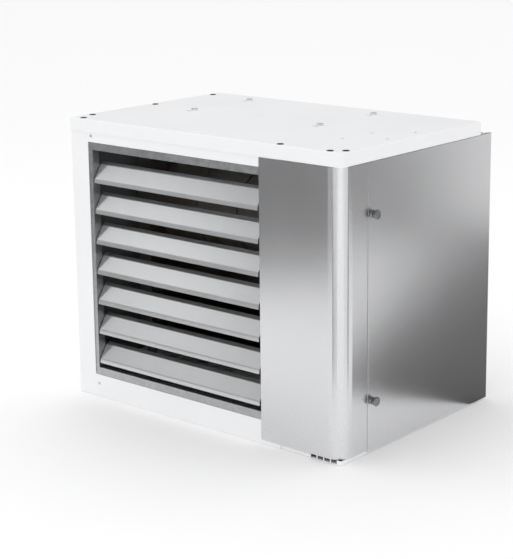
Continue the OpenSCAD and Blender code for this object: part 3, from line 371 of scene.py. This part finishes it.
# Maker and roughness of each finish
FINISH_KINDS = {
    "white_paint": (powder_coat, 0.42),
    "brushed_steel": (brushed, 0.25),
    "galvanised": (galvanised, 0.42),
    "zinc_plated": (zinc, 0.3),
    "louvre_sheet": (rolled_sheet, 0.34),
    "pin_steel": (plated, 0.36),
    "heat_steel": (heated_steel, 0.44),
    "black_plastic": (moulded, 0.46),
    "ceramic": (glazed, 0.3),
    "cast_aluminium": (cast, 0.5),
    "dark_metal": (enamelled, 0.42),
    "fan_grey": (enamelled, 0.45),
    "valve_body": (cast, 0.45),
    "brass_gas": (plated, 0.34),
    "grey_box": (moulded, 0.5),
}


# ---- shaping ----


def clear_selection():
    if bpy.context.object and bpy.context.object.mode != "OBJECT":
        bpy.ops.object.mode_set(mode="OBJECT")
    bpy.ops.object.select_all(action="DESELECT")


def pick(*pieces):
    clear_selection()
    for piece in pieces:
        piece.select_set(True)
    bpy.context.view_layer.objects.active = pieces[0]


def fix_place(piece):
    pick(piece)
    bpy.ops.object.transform_apply(location=True, rotation=True, scale=True)
    return piece


def open_whole(piece):
    """Goes into edit mode with all of the piece selected."""
    pick(piece)
    bpy.ops.object.mode_set(mode="EDIT")
    bpy.ops.mesh.select_all(action="SELECT")


def choose(piece, kind, test):
    """Goes into edit mode with just the vertices, edges or faces that pass the test selected."""
    pick(piece)
    bpy.ops.object.mode_set(mode="EDIT")
    bpy.ops.mesh.select_mode(type=kind)
    bpy.ops.mesh.select_all(action="DESELECT")
    mesh = bmesh.from_edit_mesh(piece.data)
    for part in {"VERT": mesh.verts, "EDGE": mesh.edges, "FACE": mesh.faces}[kind]:
        if test(part):
            part.select_set(True)
    mesh.select_flush_mode()
    bmesh.update_edit_mesh(piece.data)


def block(first, last):
    """Box between two corners in millimetres."""
    a, b = at(*first), at(*last)
    clear_selection()
    bpy.ops.mesh.primitive_cube_add(size=1, location=(a + b) / 2)
    made = bpy.context.object
    made.scale = b - a
    return fix_place(made)


def bar(first, last, radius, sides=24):
    """Round bar between two points in millimetres."""
    a, b = at(*first), at(*last)
    clear_selection()
    bpy.ops.mesh.primitive_cylinder_add(
        vertices=sides,
        radius=radius * MM,
        depth=(b - a).length,
        location=(a + b) / 2,
        rotation=(b - a).to_track_quat("Z", "Y").to_euler(),
    )
    return fix_place(bpy.context.object)


def turned(centre, axis, profile, sides=48, hollow=False):
    """Round piece from (radius, distance along the axis) pairs in millimetres.

    A hollow profile comes back to its first pair."""
    axis = Vector(axis)
    origin = at(*centre)
    radius, along = profile[0]
    clear_selection()
    bpy.ops.mesh.primitive_circle_add(
        vertices=sides,
        radius=radius * MM,
        fill_type="NOTHING" if hollow else "NGON",
        location=origin + axis * along * MM,
        rotation=axis.to_track_quat("Z", "Y").to_euler(),
    )
    made = fix_place(bpy.context.object)
    open_whole(made)
    for next_radius, next_along in profile[1:]:
        bpy.ops.mesh.extrude_region_move(
            TRANSFORM_OT_translate={"value": axis * (next_along - along) * MM}
        )
        if next_radius != radius:
            ratio = next_radius / radius
            bpy.ops.transform.resize(
                value=(ratio, ratio, ratio), center_override=origin + axis * next_along * MM
            )
        radius, along = next_radius, next_along
    return closed_skin(made)


def closed_skin(made):
    """Merges doubled points and turns all faces outwards."""
    open_whole(made)
    bpy.ops.mesh.remove_doubles(threshold=0.000002)
    bpy.ops.mesh.normals_make_consistent(inside=False)
    bpy.ops.object.mode_set(mode="OBJECT")
    return made


def discard(piece):
    pick(piece)
    bpy.ops.object.delete()


def joined(pieces):
    pick(*pieces)
    if len(pieces) > 1:
        bpy.ops.object.join()
    return pieces[0]


def copied(piece, move):
    """A copy with a mesh of its own, moved by millimetres."""
    pick(piece)
    bpy.ops.object.duplicate(linked=False)
    made = bpy.context.object
    made.location = Vector(move) * MM
    return fix_place(made)


def spread(piece, places):
    """Copies of the piece at places on the lid, joined; the piece itself goes."""
    made = [copied(piece, (x, y, 0)) for x, y in places]
    discard(piece)
    return joined(made)


def spun(piece, centre, axis, count):
    """The piece and its copies at equal turns round an axis, joined."""
    made = [piece]
    for step in range(1, count):
        pick(piece)
        bpy.ops.object.duplicate(linked=False)
        copy = bpy.context.object
        turn = Matrix.Rotation(math.tau * step / count, 4, Vector(axis))
        shift = Matrix.Translation(at(*centre))
        copy.matrix_world = shift @ turn @ shift.inverted()
        made.append(fix_place(copy))
    return joined(made)


def finish_modifier(piece, kind, **settings):
    pick(piece)
    modifier = piece.modifiers.new("shape", kind)
    for key, value in settings.items():
        setattr(modifier, key, value)
    bpy.ops.object.modifier_apply(modifier=modifier.name)
    return piece


def cut(piece, *cutters):
    """Takes the cutters out of the piece."""
    for cutter in cutters:
        finish_modifier(piece, "BOOLEAN", operation="DIFFERENCE", solver="EXACT", object=cutter)
        discard(cutter)
    return piece


def soften(piece, width, segments=2, angle=40):
    """Rounds the sharp edges by a width in millimetres."""
    return finish_modifier(
        piece,
        "BEVEL",
        width=width * MM,
        segments=segments,
        limit_method="ANGLE",
        angle_limit=math.radians(angle),
        use_clamp_overlap=True,
        harden_normals=False,
    )


def smooth(piece, angle=32):
    pick(piece)
    bpy.ops.object.shade_smooth_by_angle(angle=math.radians(angle))
    return finish_modifier(piece, "WEIGHTED_NORMAL", keep_sharp=True, weight=100)


def merged_copy(node):
    """A copy of a construction node with merged points and flat faces made whole."""
    made = bpy.data.objects.new(node + "_soft", CAD[node].data.copy())
    bpy.context.scene.collection.objects.link(made)
    open_whole(made)
    bpy.ops.mesh.remove_doubles(threshold=0.000005)
    bpy.ops.mesh.dissolve_limited(angle_limit=math.radians(0.4))
    bpy.ops.object.mode_set(mode="OBJECT")
    return made


def softened(node, width, segments=2):
    return smooth(soften(merged_copy(node), width, segments))


def on_line(point, start, direction):
    return (point - start).cross(direction.normalized()).length < NEAR / 10


def strip(points, run):
    """Sheet whose section follows the points; run is its length as a vector in millimetres."""
    spots = [at(*p) for p in points]
    reach = Vector(run) * MM
    a, b = spots[:2]
    along = b - a
    clear_selection()
    bpy.ops.mesh.primitive_plane_add(size=1, location=(a + b + reach) / 2)
    made = bpy.context.object
    normal = along.cross(reach).normalized()
    turn = Matrix((along.normalized(), reach.normalized(), normal)).transposed()
    made.rotation_euler = turn.to_euler()
    made.scale = (along.length, reach.length, 1)
    fix_place(made)
    choose(made, "EDGE", lambda edge: all(on_line(v.co, b, reach) for v in edge.verts))
    for spot in spots[2:]:
        bpy.ops.mesh.extrude_region_move(TRANSFORM_OT_translate={"value": spot - b})
        b = spot
    bpy.ops.object.mode_set(mode="OBJECT")
    return made


def bend(piece, points, run, radius, steps=4):
    """Rounds the folds of a strip that lie at these points."""
    reach = Vector(run)
    spots = [at(*p) for p in points]
    choose(
        piece,
        "EDGE",
        lambda edge: any(all(on_line(v.co, s, reach) for v in edge.verts) for s in spots),
    )
    bpy.ops.mesh.bevel(offset=radius * MM, segments=steps, affect="EDGES", profile=0.5)
    bpy.ops.object.mode_set(mode="OBJECT")
    return piece


def coat(piece, finish):
    """Gives the whole piece one finish."""
    piece.data.materials.clear()
    piece.data.materials.append(FINISHES[finish])
    for face in piece.data.polygons:
        face.material_index = 0


def settle(made, name, node):
    """Names the piece, gives it its node's finish and puts it in the node's place."""
    clear_selection()
    made.name = name
    made.data.name = name
    coat(made, FINISH_OF[node])
    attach(made, BODY_OF[node])
    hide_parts(node)


# ---- sizes and colours ----


def length(label, about, default):
    return bpy.props.FloatProperty(
        name=label, description=about, default=default, min=0, unit="LENGTH", precision=5
    )


def colour(label, about, default):
    return bpy.props.FloatVectorProperty(
        name=label, description=about, default=default, size=3, min=0, max=1, subtype="COLOR"
    )


class HeaterSizes(bpy.types.PropertyGroup):
    """Sizes of the details that the construction model leaves plain."""

    lid_bend: length("Lid bend", "Outer radius of the bends round the lid", 0.0022)
    sheet_edge: length("Sheet edge", "Rounding of cut sheet edges", 0.0003)
    cover_bend: length("Cover bend", "Half width of each press line in the cover's corner", 0.0022)
    cover_steps: bpy.props.IntProperty(
        name="Cover steps", description="Press lines in the rounded corner", default=5, min=1
    )


class HeaterColours(bpy.types.PropertyGroup):
    """Base colours of the finishes."""

    white_paint: colour("White paint", "Powder coat of the casing", (0.86, 0.864, 0.87))
    brushed_steel: colour("Brushed steel", "Cover and door", (0.83, 0.833, 0.842))
    galvanised: colour("Galvanised", "Frames and brackets", (0.52, 0.53, 0.54))
    zinc_plated: colour("Zinc plated", "Fasteners, bosses and knobs", (0.76, 0.77, 0.78))
    louvre_sheet: colour("Louvre sheet", "Louvre blades", (0.72, 0.73, 0.735))
    pin_steel: colour("Pin steel", "Pins of the blades", (0.4, 0.4, 0.41))
    heat_steel: colour("Heat steel", "Heat exchanger", (0.21, 0.205, 0.2))
    black_plastic: colour("Black plastic", "Plugs and glands", (0.018, 0.018, 0.019))
    ceramic: colour("Ceramic", "Electrodes", (0.82, 0.8, 0.75))
    cast_aluminium: colour("Cast aluminium", "Blower housing", (0.5, 0.5, 0.5))
    dark_metal: colour("Dark enamel", "Motors", (0.02, 0.02, 0.022))
    fan_grey: colour("Fan enamel", "Fan, guard and ring", (0.028, 0.029, 0.031))
    valve_body: colour("Valve body", "Gas valve", (0.5, 0.5, 0.48))
    brass_gas: colour("Brass", "Gas pipe and nipple", (0.72, 0.56, 0.26))
    grey_box: colour("Grey box", "Control box", (0.42, 0.43, 0.44))


# ---- pieces ----


class HEATER_OT_finishes(bpy.types.Operator):
    """Makes the finishes and puts them on the construction nodes"""

    bl_idname = "heater.finishes"
    bl_label = "Finishes"

    def execute(self, context):
        colours = context.scene.heater_colours
        for name, (maker, rough) in FINISH_KINDS.items():
            FINISHES[name] = maker(name, tuple(getattr(colours, name)), rough)
        for node, piece in CAD.items():
            coat(piece, FINISH_OF[node])
        return {"FINISHED"}


# Turned outlines, as radius and height over the surface in millimetres

BOSS_PROFILE = (
    (5.8, -24), (6.2, -23.6), (6.2, 0),  # shank under the lid
    (8, 0), (8, 3.6), (7.2, 4.5),  # flange
    (4.8, 4.5), (4, 3.7), (4, -22),  # bore
)
PLUG_PROFILE = (
    (6, -5), (6.85, -4), (6.85, 0),  # stem in its hole
    (8, 0), (8, 0.4), (7.6, 0.9), (6.6, 1.2),  # rim
    (5.6, 1.2), (5.2, 0.8), (0.6, 0.7),  # dished middle
)
RIVET_PROFILE = (
    (1.5, -6), (1.9, -5.6), (1.9, 0),  # shank
    (3, 0), (3, 0.25), (2.7, 0.75), (2, 1.08), (1.2, 1.2),  # domed head
    (1, 0.9), (0.2, 0.85),  # mandrel hole
)
SCREW_PROFILE = (
    (2.4, 0), (3.3, 0.2), (3.9, 0.75), (4, 1.1), (4, 1.4),  # head
    (2, 1.4), (2, 9), (1.2, 9.4),  # shank
)

# Radii of a screw's head and a boss's flange
SCREW_HEAD = 4
BOSS_EDGE = 8

# Rivets as shares of the lid's width and depth
RIVET_SHARES = ((0.865, 0.276), (0.875, 0.459), (0.963, 0.381), (0.964, 0.58))


def boss_places():
    """Centres of the four hanger bosses, from the node's box."""
    a, b = low("hanger_bosses"), high("hanger_bosses")
    across, along = (a.x + BOSS_EDGE, b.x - BOSS_EDGE), (a.y + BOSS_EDGE, b.y - BOSS_EDGE)
    return [(x, y) for x in across for y in along]


def plug_places():
    """Centres of the blanking plugs: three in front, three on the left, one at the cut corner."""
    width, depth, _ = high("lid")
    from_front, from_left, from_end = 12, 17, 40
    front = [(x, from_front) for x in (36, width - 178, width - from_end)]
    left = [(from_left, y) for y in (60, depth * 0.52, depth - from_end)]
    return [*front, *left, (width - 13, 32)]


def rivet_places():
    width, depth, _ = high("lid")
    return [(x * width, y * depth) for x, y in RIVET_SHARES]


class HEATER_OT_lid(bpy.types.Operator):
    """Pressed lid with rounded bends, a cut corner, and its holes and slots"""

    bl_idname = "heater.lid"
    bl_label = "Lid"

    def execute(self, context):
        bottom, top = low("lid"), high("lid")
        made = self.skirted(bottom, top, context.scene.heater_sizes.lid_bend)
        below, above = top.z - 4, top.z + 2
        plug_r, boss_r, rivet_r = 7, 6.5, 2
        slot_half, slot_half_width, slot_ahead = 8, 3.5, 18

        def hole(x, y, radius, sides=24):
            return bar((x, y, below), (x, y, above), radius, sides)

        holes = [hole(x, y, plug_r) for x, y in plug_places()]
        holes += [hole(x, y, boss_r) for x, y in boss_places()]
        for x, y in boss_places():
            near, far = y - slot_ahead - slot_half_width, y - slot_ahead + slot_half_width
            holes.append(block((x - slot_half, near, below), (x + slot_half, far, above)))
        holes += [hole(x, y, rivet_r, 16) for x, y in rivet_places()]
        cut(made, *holes)
        settle(smooth(made), "lid_shell", "lid")
        return {"FINISHED"}

    @staticmethod
    def skirted(bottom, top, bend_r):
        """Sheet bent down all round, open below, with the front right corner cut off."""
        sheet, corner = 1.5, 8
        right, front, crown = at(*top).x, at(*bottom).y, at(*top).z

        def upright(edge):
            return abs(edge.verts[0].co.z - edge.verts[1].co.z) > 0.01

        def at_corner(edge):
            return upright(edge) and all(
                abs(v.co.x - right) < NEAR and abs(v.co.y - front) < NEAR for v in edge.verts
            )

        def at_crown(edge):
            return all(abs(v.co.z - crown) < NEAR for v in edge.verts) and any(
                abs(f.normal.z) < 0.5 for f in edge.link_faces
            )

        made = block(bottom, top)
        choose(made, "FACE", lambda face: face.normal.z < -0.9)
        bpy.ops.mesh.delete(type="FACE")
        for test, width, segments in (
            (at_corner, corner * MM, 1),
            (upright, bend_r, 3),
            (at_crown, bend_r, 4),
        ):
            choose(made, "EDGE", test)
            bpy.ops.mesh.bevel(offset=width, segments=segments, affect="EDGES")
        bpy.ops.object.mode_set(mode="OBJECT")
        return finish_modifier(
            made, "SOLIDIFY", thickness=sheet * MM, offset=-1, use_even_offset=True
        )


class HEATER_OT_lid_fittings(bpy.types.Operator):
    """Hanger bosses, blanking plugs and rivets on the lid"""

    bl_idname = "heater.lid_fittings"
    bl_label = "Lid fittings"

    def execute(self, context):
        surface = (0, 0, high("lid").z)
        for name, node, profile, places, sides in (
            ("bosses", "hanger_bosses", BOSS_PROFILE, boss_places(), 48),
            ("plugs", "lid_plugs", PLUG_PROFILE, plug_places(), 48),
            ("rivets", "lid_rivets", RIVET_PROFILE, rivet_places(), 24),
        ):
            pattern = turned(surface, (0, 0, 1), profile, sides)
            settle(smooth(spread(pattern, places)), name, node)
        return {"FINISHED"}


class HEATER_OT_casing(bpy.types.Operator):
    """White panels with eased edges"""

    bl_idname = "heater.casing"
    bl_label = "Casing panels"

    def execute(self, context):
        for node in ("front_frame", "left_panel", "rear_panel", "base_tray"):
            settle(softened(node, 0.35), node + "_sheet", node)
        return {"FINISHED"}


class HEATER_OT_corner_cover(bpy.types.Operator):
    """Brushed cover with the press lines of its rounded corner"""

    bl_idname = "heater.corner_cover"
    bl_label = "Corner cover"

    def execute(self, context):
        sizes = context.scene.heater_sizes
        bottom, top = low("corner_cover"), high("corner_cover")
        radius, fold, fold_bend, skin = 38, 14, 1.6, 1.2
        count = sizes.cover_steps
        arc = []
        for step in range(count + 1):
            angle = math.pi / 2 * step / count
            x = top.x - radius + radius * math.sin(angle)
            y = bottom.y + radius - radius * math.cos(angle)
            arc.append((x, y, bottom.z))
        path = [(bottom.x, bottom.y, bottom.z), *arc]
        path += [(top.x, top.y, bottom.z), (top.x - fold, top.y, bottom.z)]
        run = (0, 0, top.z - bottom.z)
        made = strip(path, run)
        bend(made, arc, run, sizes.cover_bend / MM, 3)
        bend(made, path[-2:-1], run, fold_bend, 4)
        finish_modifier(made, "SOLIDIFY", thickness=skin * MM, offset=-1, use_even_offset=True)
        soften(made, sizes.sheet_edge / MM, 2, 60)
        settle(smooth(made, 24), "cover_sheet", "corner_cover")
        return {"FINISHED"}


class HEATER_OT_door(bpy.types.Operator):
    """Brushed service door, its lugs and folds"""

    bl_idname = "heater.door"
    bl_label = "Service door"

    def execute(self, context):
        made = merged_copy("side_door")
        bottom, top = at(*low("side_door")), at(*high("side_door"))
        seam_bend = 1.1

        def at_seam(edge):
            a, b = (v.co for v in edge.verts)
            return abs(a.z - b.z) > (top.z - bottom.z) * 0.9 and all(
                abs(p.y - bottom.y) < NEAR and abs(p.x - top.x) < NEAR * 4 for p in (a, b)
            )

        choose(made, "EDGE", at_seam)
        bpy.ops.mesh.bevel(offset=seam_bend * MM, segments=3, affect="EDGES")
        bpy.ops.object.mode_set(mode="OBJECT")
        settle(smooth(soften(made, 0.3)), "door_sheet", "side_door")
        return {"FINISHED"}


class HEATER_OT_knobs(bpy.types.Operator):
    """Quarter turn knobs with gripped heads"""

    bl_idname = "heater.knobs"
    bl_label = "Door knobs"

    def execute(self, context):
        face = high("side_door").x
        shank, neck, collar, head = 3, 5, 9, 11
        grip_r, grips = 1.6, 12
        for name in ("upper", "lower"):
            node = "door_knob_" + name
            _, y, z = middle(node)
            start, out = low(node).x - face, high(node).x - face
            profile = (
                (shank, start), (shank, -17.9), (neck, -17.9), (neck, 0.3),
                (collar, 0.3), (collar, 2.4), (8.2, 3.3), (5.6, 3.9), (neck, 4.6),
                (neck, out - 6.5), (6.2, out - 5.4), (10, out - 5), (head, out - 4.2),
                (head, out - 1.1), (10.2, out - 0.3), (8.4, out), (7.2, out),
                (6.6, out - 0.5), (0.5, out - 0.6),
            )
            knob = turned((face, y, z), (1, 0, 0), profile, 72)
            side = y + head + 0.9
            grip = bar((face + out - 6, side, z), (face + out + 1, side, z), grip_r, 16)
            cut(knob, spun(grip, (face, y, z), (1, 0, 0), grips))
            settle(smooth(knob, 30), "knob_" + name, node)
        return {"FINISHED"}


class HEATER_OT_louvre_frame(bpy.types.Operator):
    """Outlet frame and its clamping screws"""

    bl_idname = "heater.louvre_frame"
    bl_label = "Louvre frame"

    def execute(self, context):
        settle(softened("louvre_frame", 0.3), "outlet_frame", "louvre_frame")
        a, b = low("frame_screws"), high("frame_screws")
        x, front = (a.x + b.x) / 2, a.y
        long, narrow, deep = 2, 0.35, 0.8
        screws = []
        for z in (a.z + SCREW_HEAD, b.z - SCREW_HEAD):
            screw = turned((x, front, z), (0, 1, 0), SCREW_PROFILE, 32)
            cross = [
                block((x - wide, front - 1, z - tall), (x + wide, front + deep, z + tall))
                for wide, tall in ((long, narrow), (narrow, long))
            ]
            screws.append(cut(screw, *cross))
        settle(smooth(joined(screws)), "outlet_screws", "frame_screws")
        return {"FINISHED"}


class HEATER_OT_blades(bpy.types.Operator):
    """Louvre blades of bent sheet with rounded folds and a tab at each end"""

    bl_idname = "heater.blades"
    bl_label = "Louvre blades"

    def execute(self, context):
        edge = context.scene.heater_sizes.sheet_edge / MM
        for number in range(1, 8):
            node = f"louvre_blade_{number}"
            settle(smooth(self.blade(node, number, edge)), f"blade_{number}", node)
        return {"FINISHED"}

    @staticmethod
    def blade(node, number, edge):
        """Strip with a lip below and a fold above, and round tabs that hold its pins."""
        thick, fold_bend = 1.2, 2.2
        tab, bore, trim = 8, 4.05, 6.2
        a, b = low(node), high(node)
        lip, knee, shoulder, fold = (0, 0), (1, 10), (23, 44), (31.5, 49.5)
        path = [(a.x, a.y + y, a.z + z) for y, z in (lip, knee, shoulder, fold)]
        run = (b.x - a.x, 0, 0)
        made = strip(path[::-1], run)
        bend(made, path[1:-1], run, fold_bend, 4)
        finish_modifier(made, "SOLIDIFY", thickness=thick * MM, offset=-1, use_even_offset=True)
        soften(made, edge, 2, 60)
        _, y, z = middle(f"louvre_pivots_{number}")
        slope = Vector((0, shoulder[0] - knee[0], shoulder[1] - knee[1])).normalized()
        front = Vector((0, -slope.z, slope.y))
        ring = (
            (bore, 0), (tab - 0.3, 0), (tab, 0.3),
            (tab, thick - 0.3), (tab - 0.3, thick), (bore, thick), (bore, 0),
        )
        parts = [made]
        for x in (a.x, b.x - thick):
            plate = turned((x, y, z), (1, 0, 0), ring, 40, hollow=True)
            open_whole(plate)
            bpy.ops.mesh.bisect(
                plane_co=at(x, y, z) + front * trim * MM,
                plane_no=front,
                use_fill=True,
                clear_outer=True,
            )
            bpy.ops.object.mode_set(mode="OBJECT")
            parts.append(plate)
        return joined(parts)


class HEATER_OT_fan(bpy.types.Operator):
    """Wire guard, fan wheel and inlet ring"""

    bl_idname = "heater.fan"
    bl_label = "Fan"

    def execute(self, context):
        self.guard()
        for node in ("fan_rotor", "fan_ring"):
            settle(softened(node, 0.5), node + "_dressed", node)
        return {"FINISHED"}

    @staticmethod
    def guard():
        """Rings laid on eight spokes that slope from a hub plate down to the inlet ring."""
        x, _, z = middle("fan_guard")
        wire, rings, spokes, slack = 2, 7, 8, 0.05
        inner, outer, rise = 72, 231, 26
        flat_y = 542.05 + rise
        start, end = inner - 2 * wire + slack, outer + 2 * wire
        slope = rise / (end - start)
        lift = 2 * wire / math.cos(math.atan(slope)) + slack
        parts = []
        for ring in range(rings):
            radius = inner + (outer - inner) * ring / (rings - 1)
            clear_selection()
            bpy.ops.mesh.primitive_torus_add(
                location=at(x, flat_y - (radius - start) * slope + lift, z),
                rotation=(math.pi / 2, 0, 0),
                major_segments=96,
                minor_segments=10,
                major_radius=radius * MM,
                minor_radius=wire * MM,
            )
            parts.append(fix_place(bpy.context.object))
        low_y = flat_y - (end - start) * slope
        spoke = bar((x + start - 3, flat_y, z), (x + end, low_y, z), wire, 12)
        parts.append(spun(spoke, (x, flat_y, z), (0, 1, 0), spokes))
        plate = (
            (inner - 5, -1), (inner - 4, 0), (inner - 4, 1.5), (inner - 5, 2),
            (30, 2), (28, 3.4), (8, 3.4), (7, 2.4), (0.5, 2.4),
        )
        parts.append(turned((x, flat_y, z), (0, 1, 0), plate, 72))
        settle(smooth(joined(parts), 40), "guard", "fan_guard")


class HEATER_OT_connections(bpy.types.Operator):
    """Flue and air spigots, gas nipple and cable glands"""

    bl_idname = "heater.connections"
    bl_label = "Connections"

    def execute(self, context):
        outer, wall, flange, groove = 40, 1.2, 10, 0.8
        face = 538.2
        for node in ("flue_spigot", "air_spigot"):
            x, _, z = middle(node)
            start, end = low(node).y, high(node).y
            profile = (
                (outer - wall, start), (outer, start), (outer, face),
                (outer + flange - 0.4, face), (outer + flange, face + 0.4),
                (outer + flange, face + 1.6), (outer + flange - 0.6, face + 2),
                (outer + 1, face + 2), (outer, face + 3), (outer, end - 9.5),
                (outer - groove, end - 8), (outer - groove, end - 7), (outer, end - 5.5),
                (outer, end - 0.3), (outer - 0.4, end), (outer - wall, end),
                (outer - wall, start),
            )
            made = turned((x, 0, z), (0, 1, 0), profile, 72, hollow=True)
            settle(smooth(made, 40), node.replace("_spigot", "_stub"), node)
        for node in ("gas_inlet", "cable_glands"):
            settle(softened(node, 0.6), node + "_dressed", node)
        return {"FINISHED"}


class HEATER_OT_inner_parts(bpy.types.Operator):
    """Eased edges on the parts that the louvres and the door let see"""

    bl_idname = "heater.inner_parts"
    bl_label = "Inner parts"

    def execute(self, context):
        for node, width in (("gas_valve", 1.2), ("control_box", 1.5), ("hinge_brackets", 0.4)):
            settle(softened(node, width), node + "_dressed", node)
        return {"FINISHED"}


def chosen_middle(made):
    """Middle of the vertices that are selected in edit mode."""
    spots = [v.co for v in bmesh.from_edit_mesh(made.data).verts if v.select]
    return sum(spots, Vector()) / len(spots)


# The photograph's size, focal length and principal point in pixels, the camera's yaw, pitch and
# roll in degrees, its place in metres, and its sensor in millimetres
PHOTO_SIZE = (513, 559)
PHOTO_FOCUS = 1562.1
PHOTO_CENTRE = (280, 220)
CAMERA_TURNS = (39.905, 12.555, -0.463)
CAMERA_SPOT = (2.3923, -2.8350, 1.2783)
SENSOR = 36

# The studio's glow, and what mirror rays see of it
SURROUNDINGS = (1.07, 1.07, 1.075, 1)
MIRRORED_SURROUNDINGS = (0.38, 0.38, 0.385, 1)


class HEATER_OT_stage(bpy.types.Operator):
    """Pale floor, soft studio light and the camera"""

    bl_idname = "heater.stage"
    bl_label = "Studio"

    def execute(self, context):
        self.camera(context.scene)
        self.floor()
        self.reflectors()
        self.lights(context.scene)
        return {"FINISHED"}

    @staticmethod
    def camera(scene):
        yaw, pitch, roll = (math.radians(a) for a in CAMERA_TURNS)
        level = math.cos(pitch)
        forward = Vector((-math.sin(yaw) * level, math.cos(yaw) * level, -math.sin(pitch)))
        right = Vector((math.cos(yaw), math.sin(yaw), 0))
        up = right.cross(forward)
        side = math.cos(roll) * right + math.sin(roll) * up
        head = -math.sin(roll) * right + math.cos(roll) * up
        wide, tall = PHOTO_SIZE
        data = bpy.data.cameras.new("camera")
        data.sensor_width = SENSOR
        data.lens = PHOTO_FOCUS * SENSOR / tall
        data.shift_x = -(PHOTO_CENTRE[0] - wide / 2) / tall
        data.shift_y = -(tall / 2 - PHOTO_CENTRE[1]) / tall
        camera = bpy.data.objects.new("camera", data)
        scene.collection.objects.link(camera)
        turn = Matrix((side, head, -forward)).transposed().to_4x4()
        camera.matrix_world = Matrix.Translation(CAMERA_SPOT) @ turn
        data.clip_start, data.clip_end = 0.1, 60
        scene.camera = camera

    @staticmethod
    def floor():
        clear_selection()
        bpy.ops.mesh.primitive_plane_add(size=90, location=(0, 0, -0.0005))
        made = bpy.context.object
        made.name = "floor"
        r = Recipe("floor_paint", Roughness=0.9)
        r.wear(Base_Color=r.tint(r.noise(3, 2), (0.925, 0.925, 0.925), (0.935, 0.935, 0.935)))
        made.data.materials.append(r.material)

    @staticmethod
    def reflectors():
        """Dark boards on the floor that only mirror rays see; some narrow to a tip."""
        r = Recipe("board", Roughness=0.9)
        r.wear(Base_Color=r.tint(r.noise(3, 2), (0.118, 0.118, 0.12), (0.13, 0.13, 0.13)))
        for name, spot, size, turn, tip in (
            ("board_door", (0.803, 1.145), (0.78, 1.95), -22.6, 1),
            ("board_right", (3.8, 2.316), (3.21, 3.6), -31.7, 1),
            ("board_front", (-2.6, -3.77), (5.0, 6.0), -39.0, 1),
            ("board_corner", (2.341, 0.234), (2.8, 1.0), 14.0, 0.2),
            ("board_edge", (0.61, -2.239), (2.8, 0.9), -84.0, 0.2),
        ):
            turn = math.radians(turn)
            clear_selection()
            bpy.ops.mesh.primitive_plane_add(
                size=1, location=(*spot, 0.003), rotation=(0, 0, turn)
            )
            made = bpy.context.object
            made.scale = (*size, 1)
            fix_place(made)
            if tip < 1:
                centre, reach = Vector(spot), Vector((math.cos(turn), math.sin(turn)))
                choose(made, "VERT", lambda vert: (vert.co.xy - centre).dot(reach) < 0)
                bpy.ops.transform.resize(
                    value=(tip, tip, 1), center_override=chosen_middle(made)
                )
                bpy.ops.object.mode_set(mode="OBJECT")
            made.name = name
            made.data.materials.append(r.material)
            for ray in ("camera", "diffuse", "shadow", "transmission", "volume_scatter"):
                setattr(made, "visible_" + ray, False)

    @staticmethod
    def lights(scene):
        """Even white surroundings, dimmer to mirror rays, and four rectangular lamps."""
        world = bpy.data.worlds.new("studio")
        scene.world = world
        world.use_nodes = True
        tree = world.node_tree
        glow = tree.nodes["Background"]
        path = tree.nodes.new("ShaderNodeLightPath")
        mix = tree.nodes.new("ShaderNodeMix")
        mix.data_type = "RGBA"
        mix.inputs[6].default_value = SURROUNDINGS
        mix.inputs[7].default_value = MIRRORED_SURROUNDINGS
        tree.links.new(path.outputs["Is Glossy Ray"], mix.inputs[0])
        tree.links.new(mix.outputs[2], glow.inputs[0])
        casing_middle = Vector((0, 0, 0.35))
        for name, spot, size, power in (
            ("softbox", (-1.79, -1.55, 1.7), (0.32, 0.7), 1.75),
            ("overhead", (-0.6, -0.6, 3.6), (1.6, 1.6), 11),
            ("strip_front", (-0.31, -2.01, 0.85), (0.1, 1.7), 0.5),
            ("strip_right", (1.9, -1.42, 0.85), (0.1, 1.7), 0.5),
        ):
            data = bpy.data.lights.new(name, "AREA")
            data.shape = "RECTANGLE"
            data.size, data.size_y = size
            data.energy = power
            lamp = bpy.data.objects.new(name, data)
            scene.collection.objects.link(lamp)
            lamp.location = spot
            aim = casing_middle - Vector(spot)
            lamp.rotation_euler = aim.to_track_quat("-Z", "Y").to_euler()
            lamp.visible_camera = False
        scene.view_settings.view_transform = "Standard"


STEPS = (
    HEATER_OT_finishes,
    HEATER_OT_lid,
    HEATER_OT_lid_fittings,
    HEATER_OT_casing,
    HEATER_OT_corner_cover,
    HEATER_OT_door,
    HEATER_OT_knobs,
    HEATER_OT_louvre_frame,
    HEATER_OT_blades,
    HEATER_OT_fan,
    HEATER_OT_connections,
    HEATER_OT_inner_parts,
    HEATER_OT_stage,
)


class HEATER_PT_panel(bpy.types.Panel):
    """Lists the heater's sizes, colours and building steps"""

    bl_idname = "HEATER_PT_panel"
    bl_label = "Gas unit heater"
    bl_space_type = "VIEW_3D"
    bl_region_type = "UI"
    bl_category = "Heater"

    def draw(self, context):
        for group in (context.scene.heater_sizes, context.scene.heater_colours):
            for name in group.bl_rna.properties.keys():
                if name not in ("rna_type", "name"):
                    self.layout.prop(group, name)
        for step in STEPS:
            self.layout.operator(step.bl_idname)


CLASSES = (HeaterSizes, HeaterColours, *STEPS, HEATER_PT_panel)


def register():
    for made in CLASSES:
        bpy.utils.register_class(made)
    bpy.types.Scene.heater_sizes = bpy.props.PointerProperty(type=HeaterSizes)
    bpy.types.Scene.heater_colours = bpy.props.PointerProperty(type=HeaterColours)


def unregister():
    del bpy.types.Scene.heater_colours
    del bpy.types.Scene.heater_sizes
    for made in reversed(CLASSES):
        bpy.utils.unregister_class(made)


def main():
    register()
    for step in STEPS:
        group, name = step.bl_idname.split(".")
        getattr(getattr(bpy.ops, group), name)()


if __name__ == "__main__":
    main()
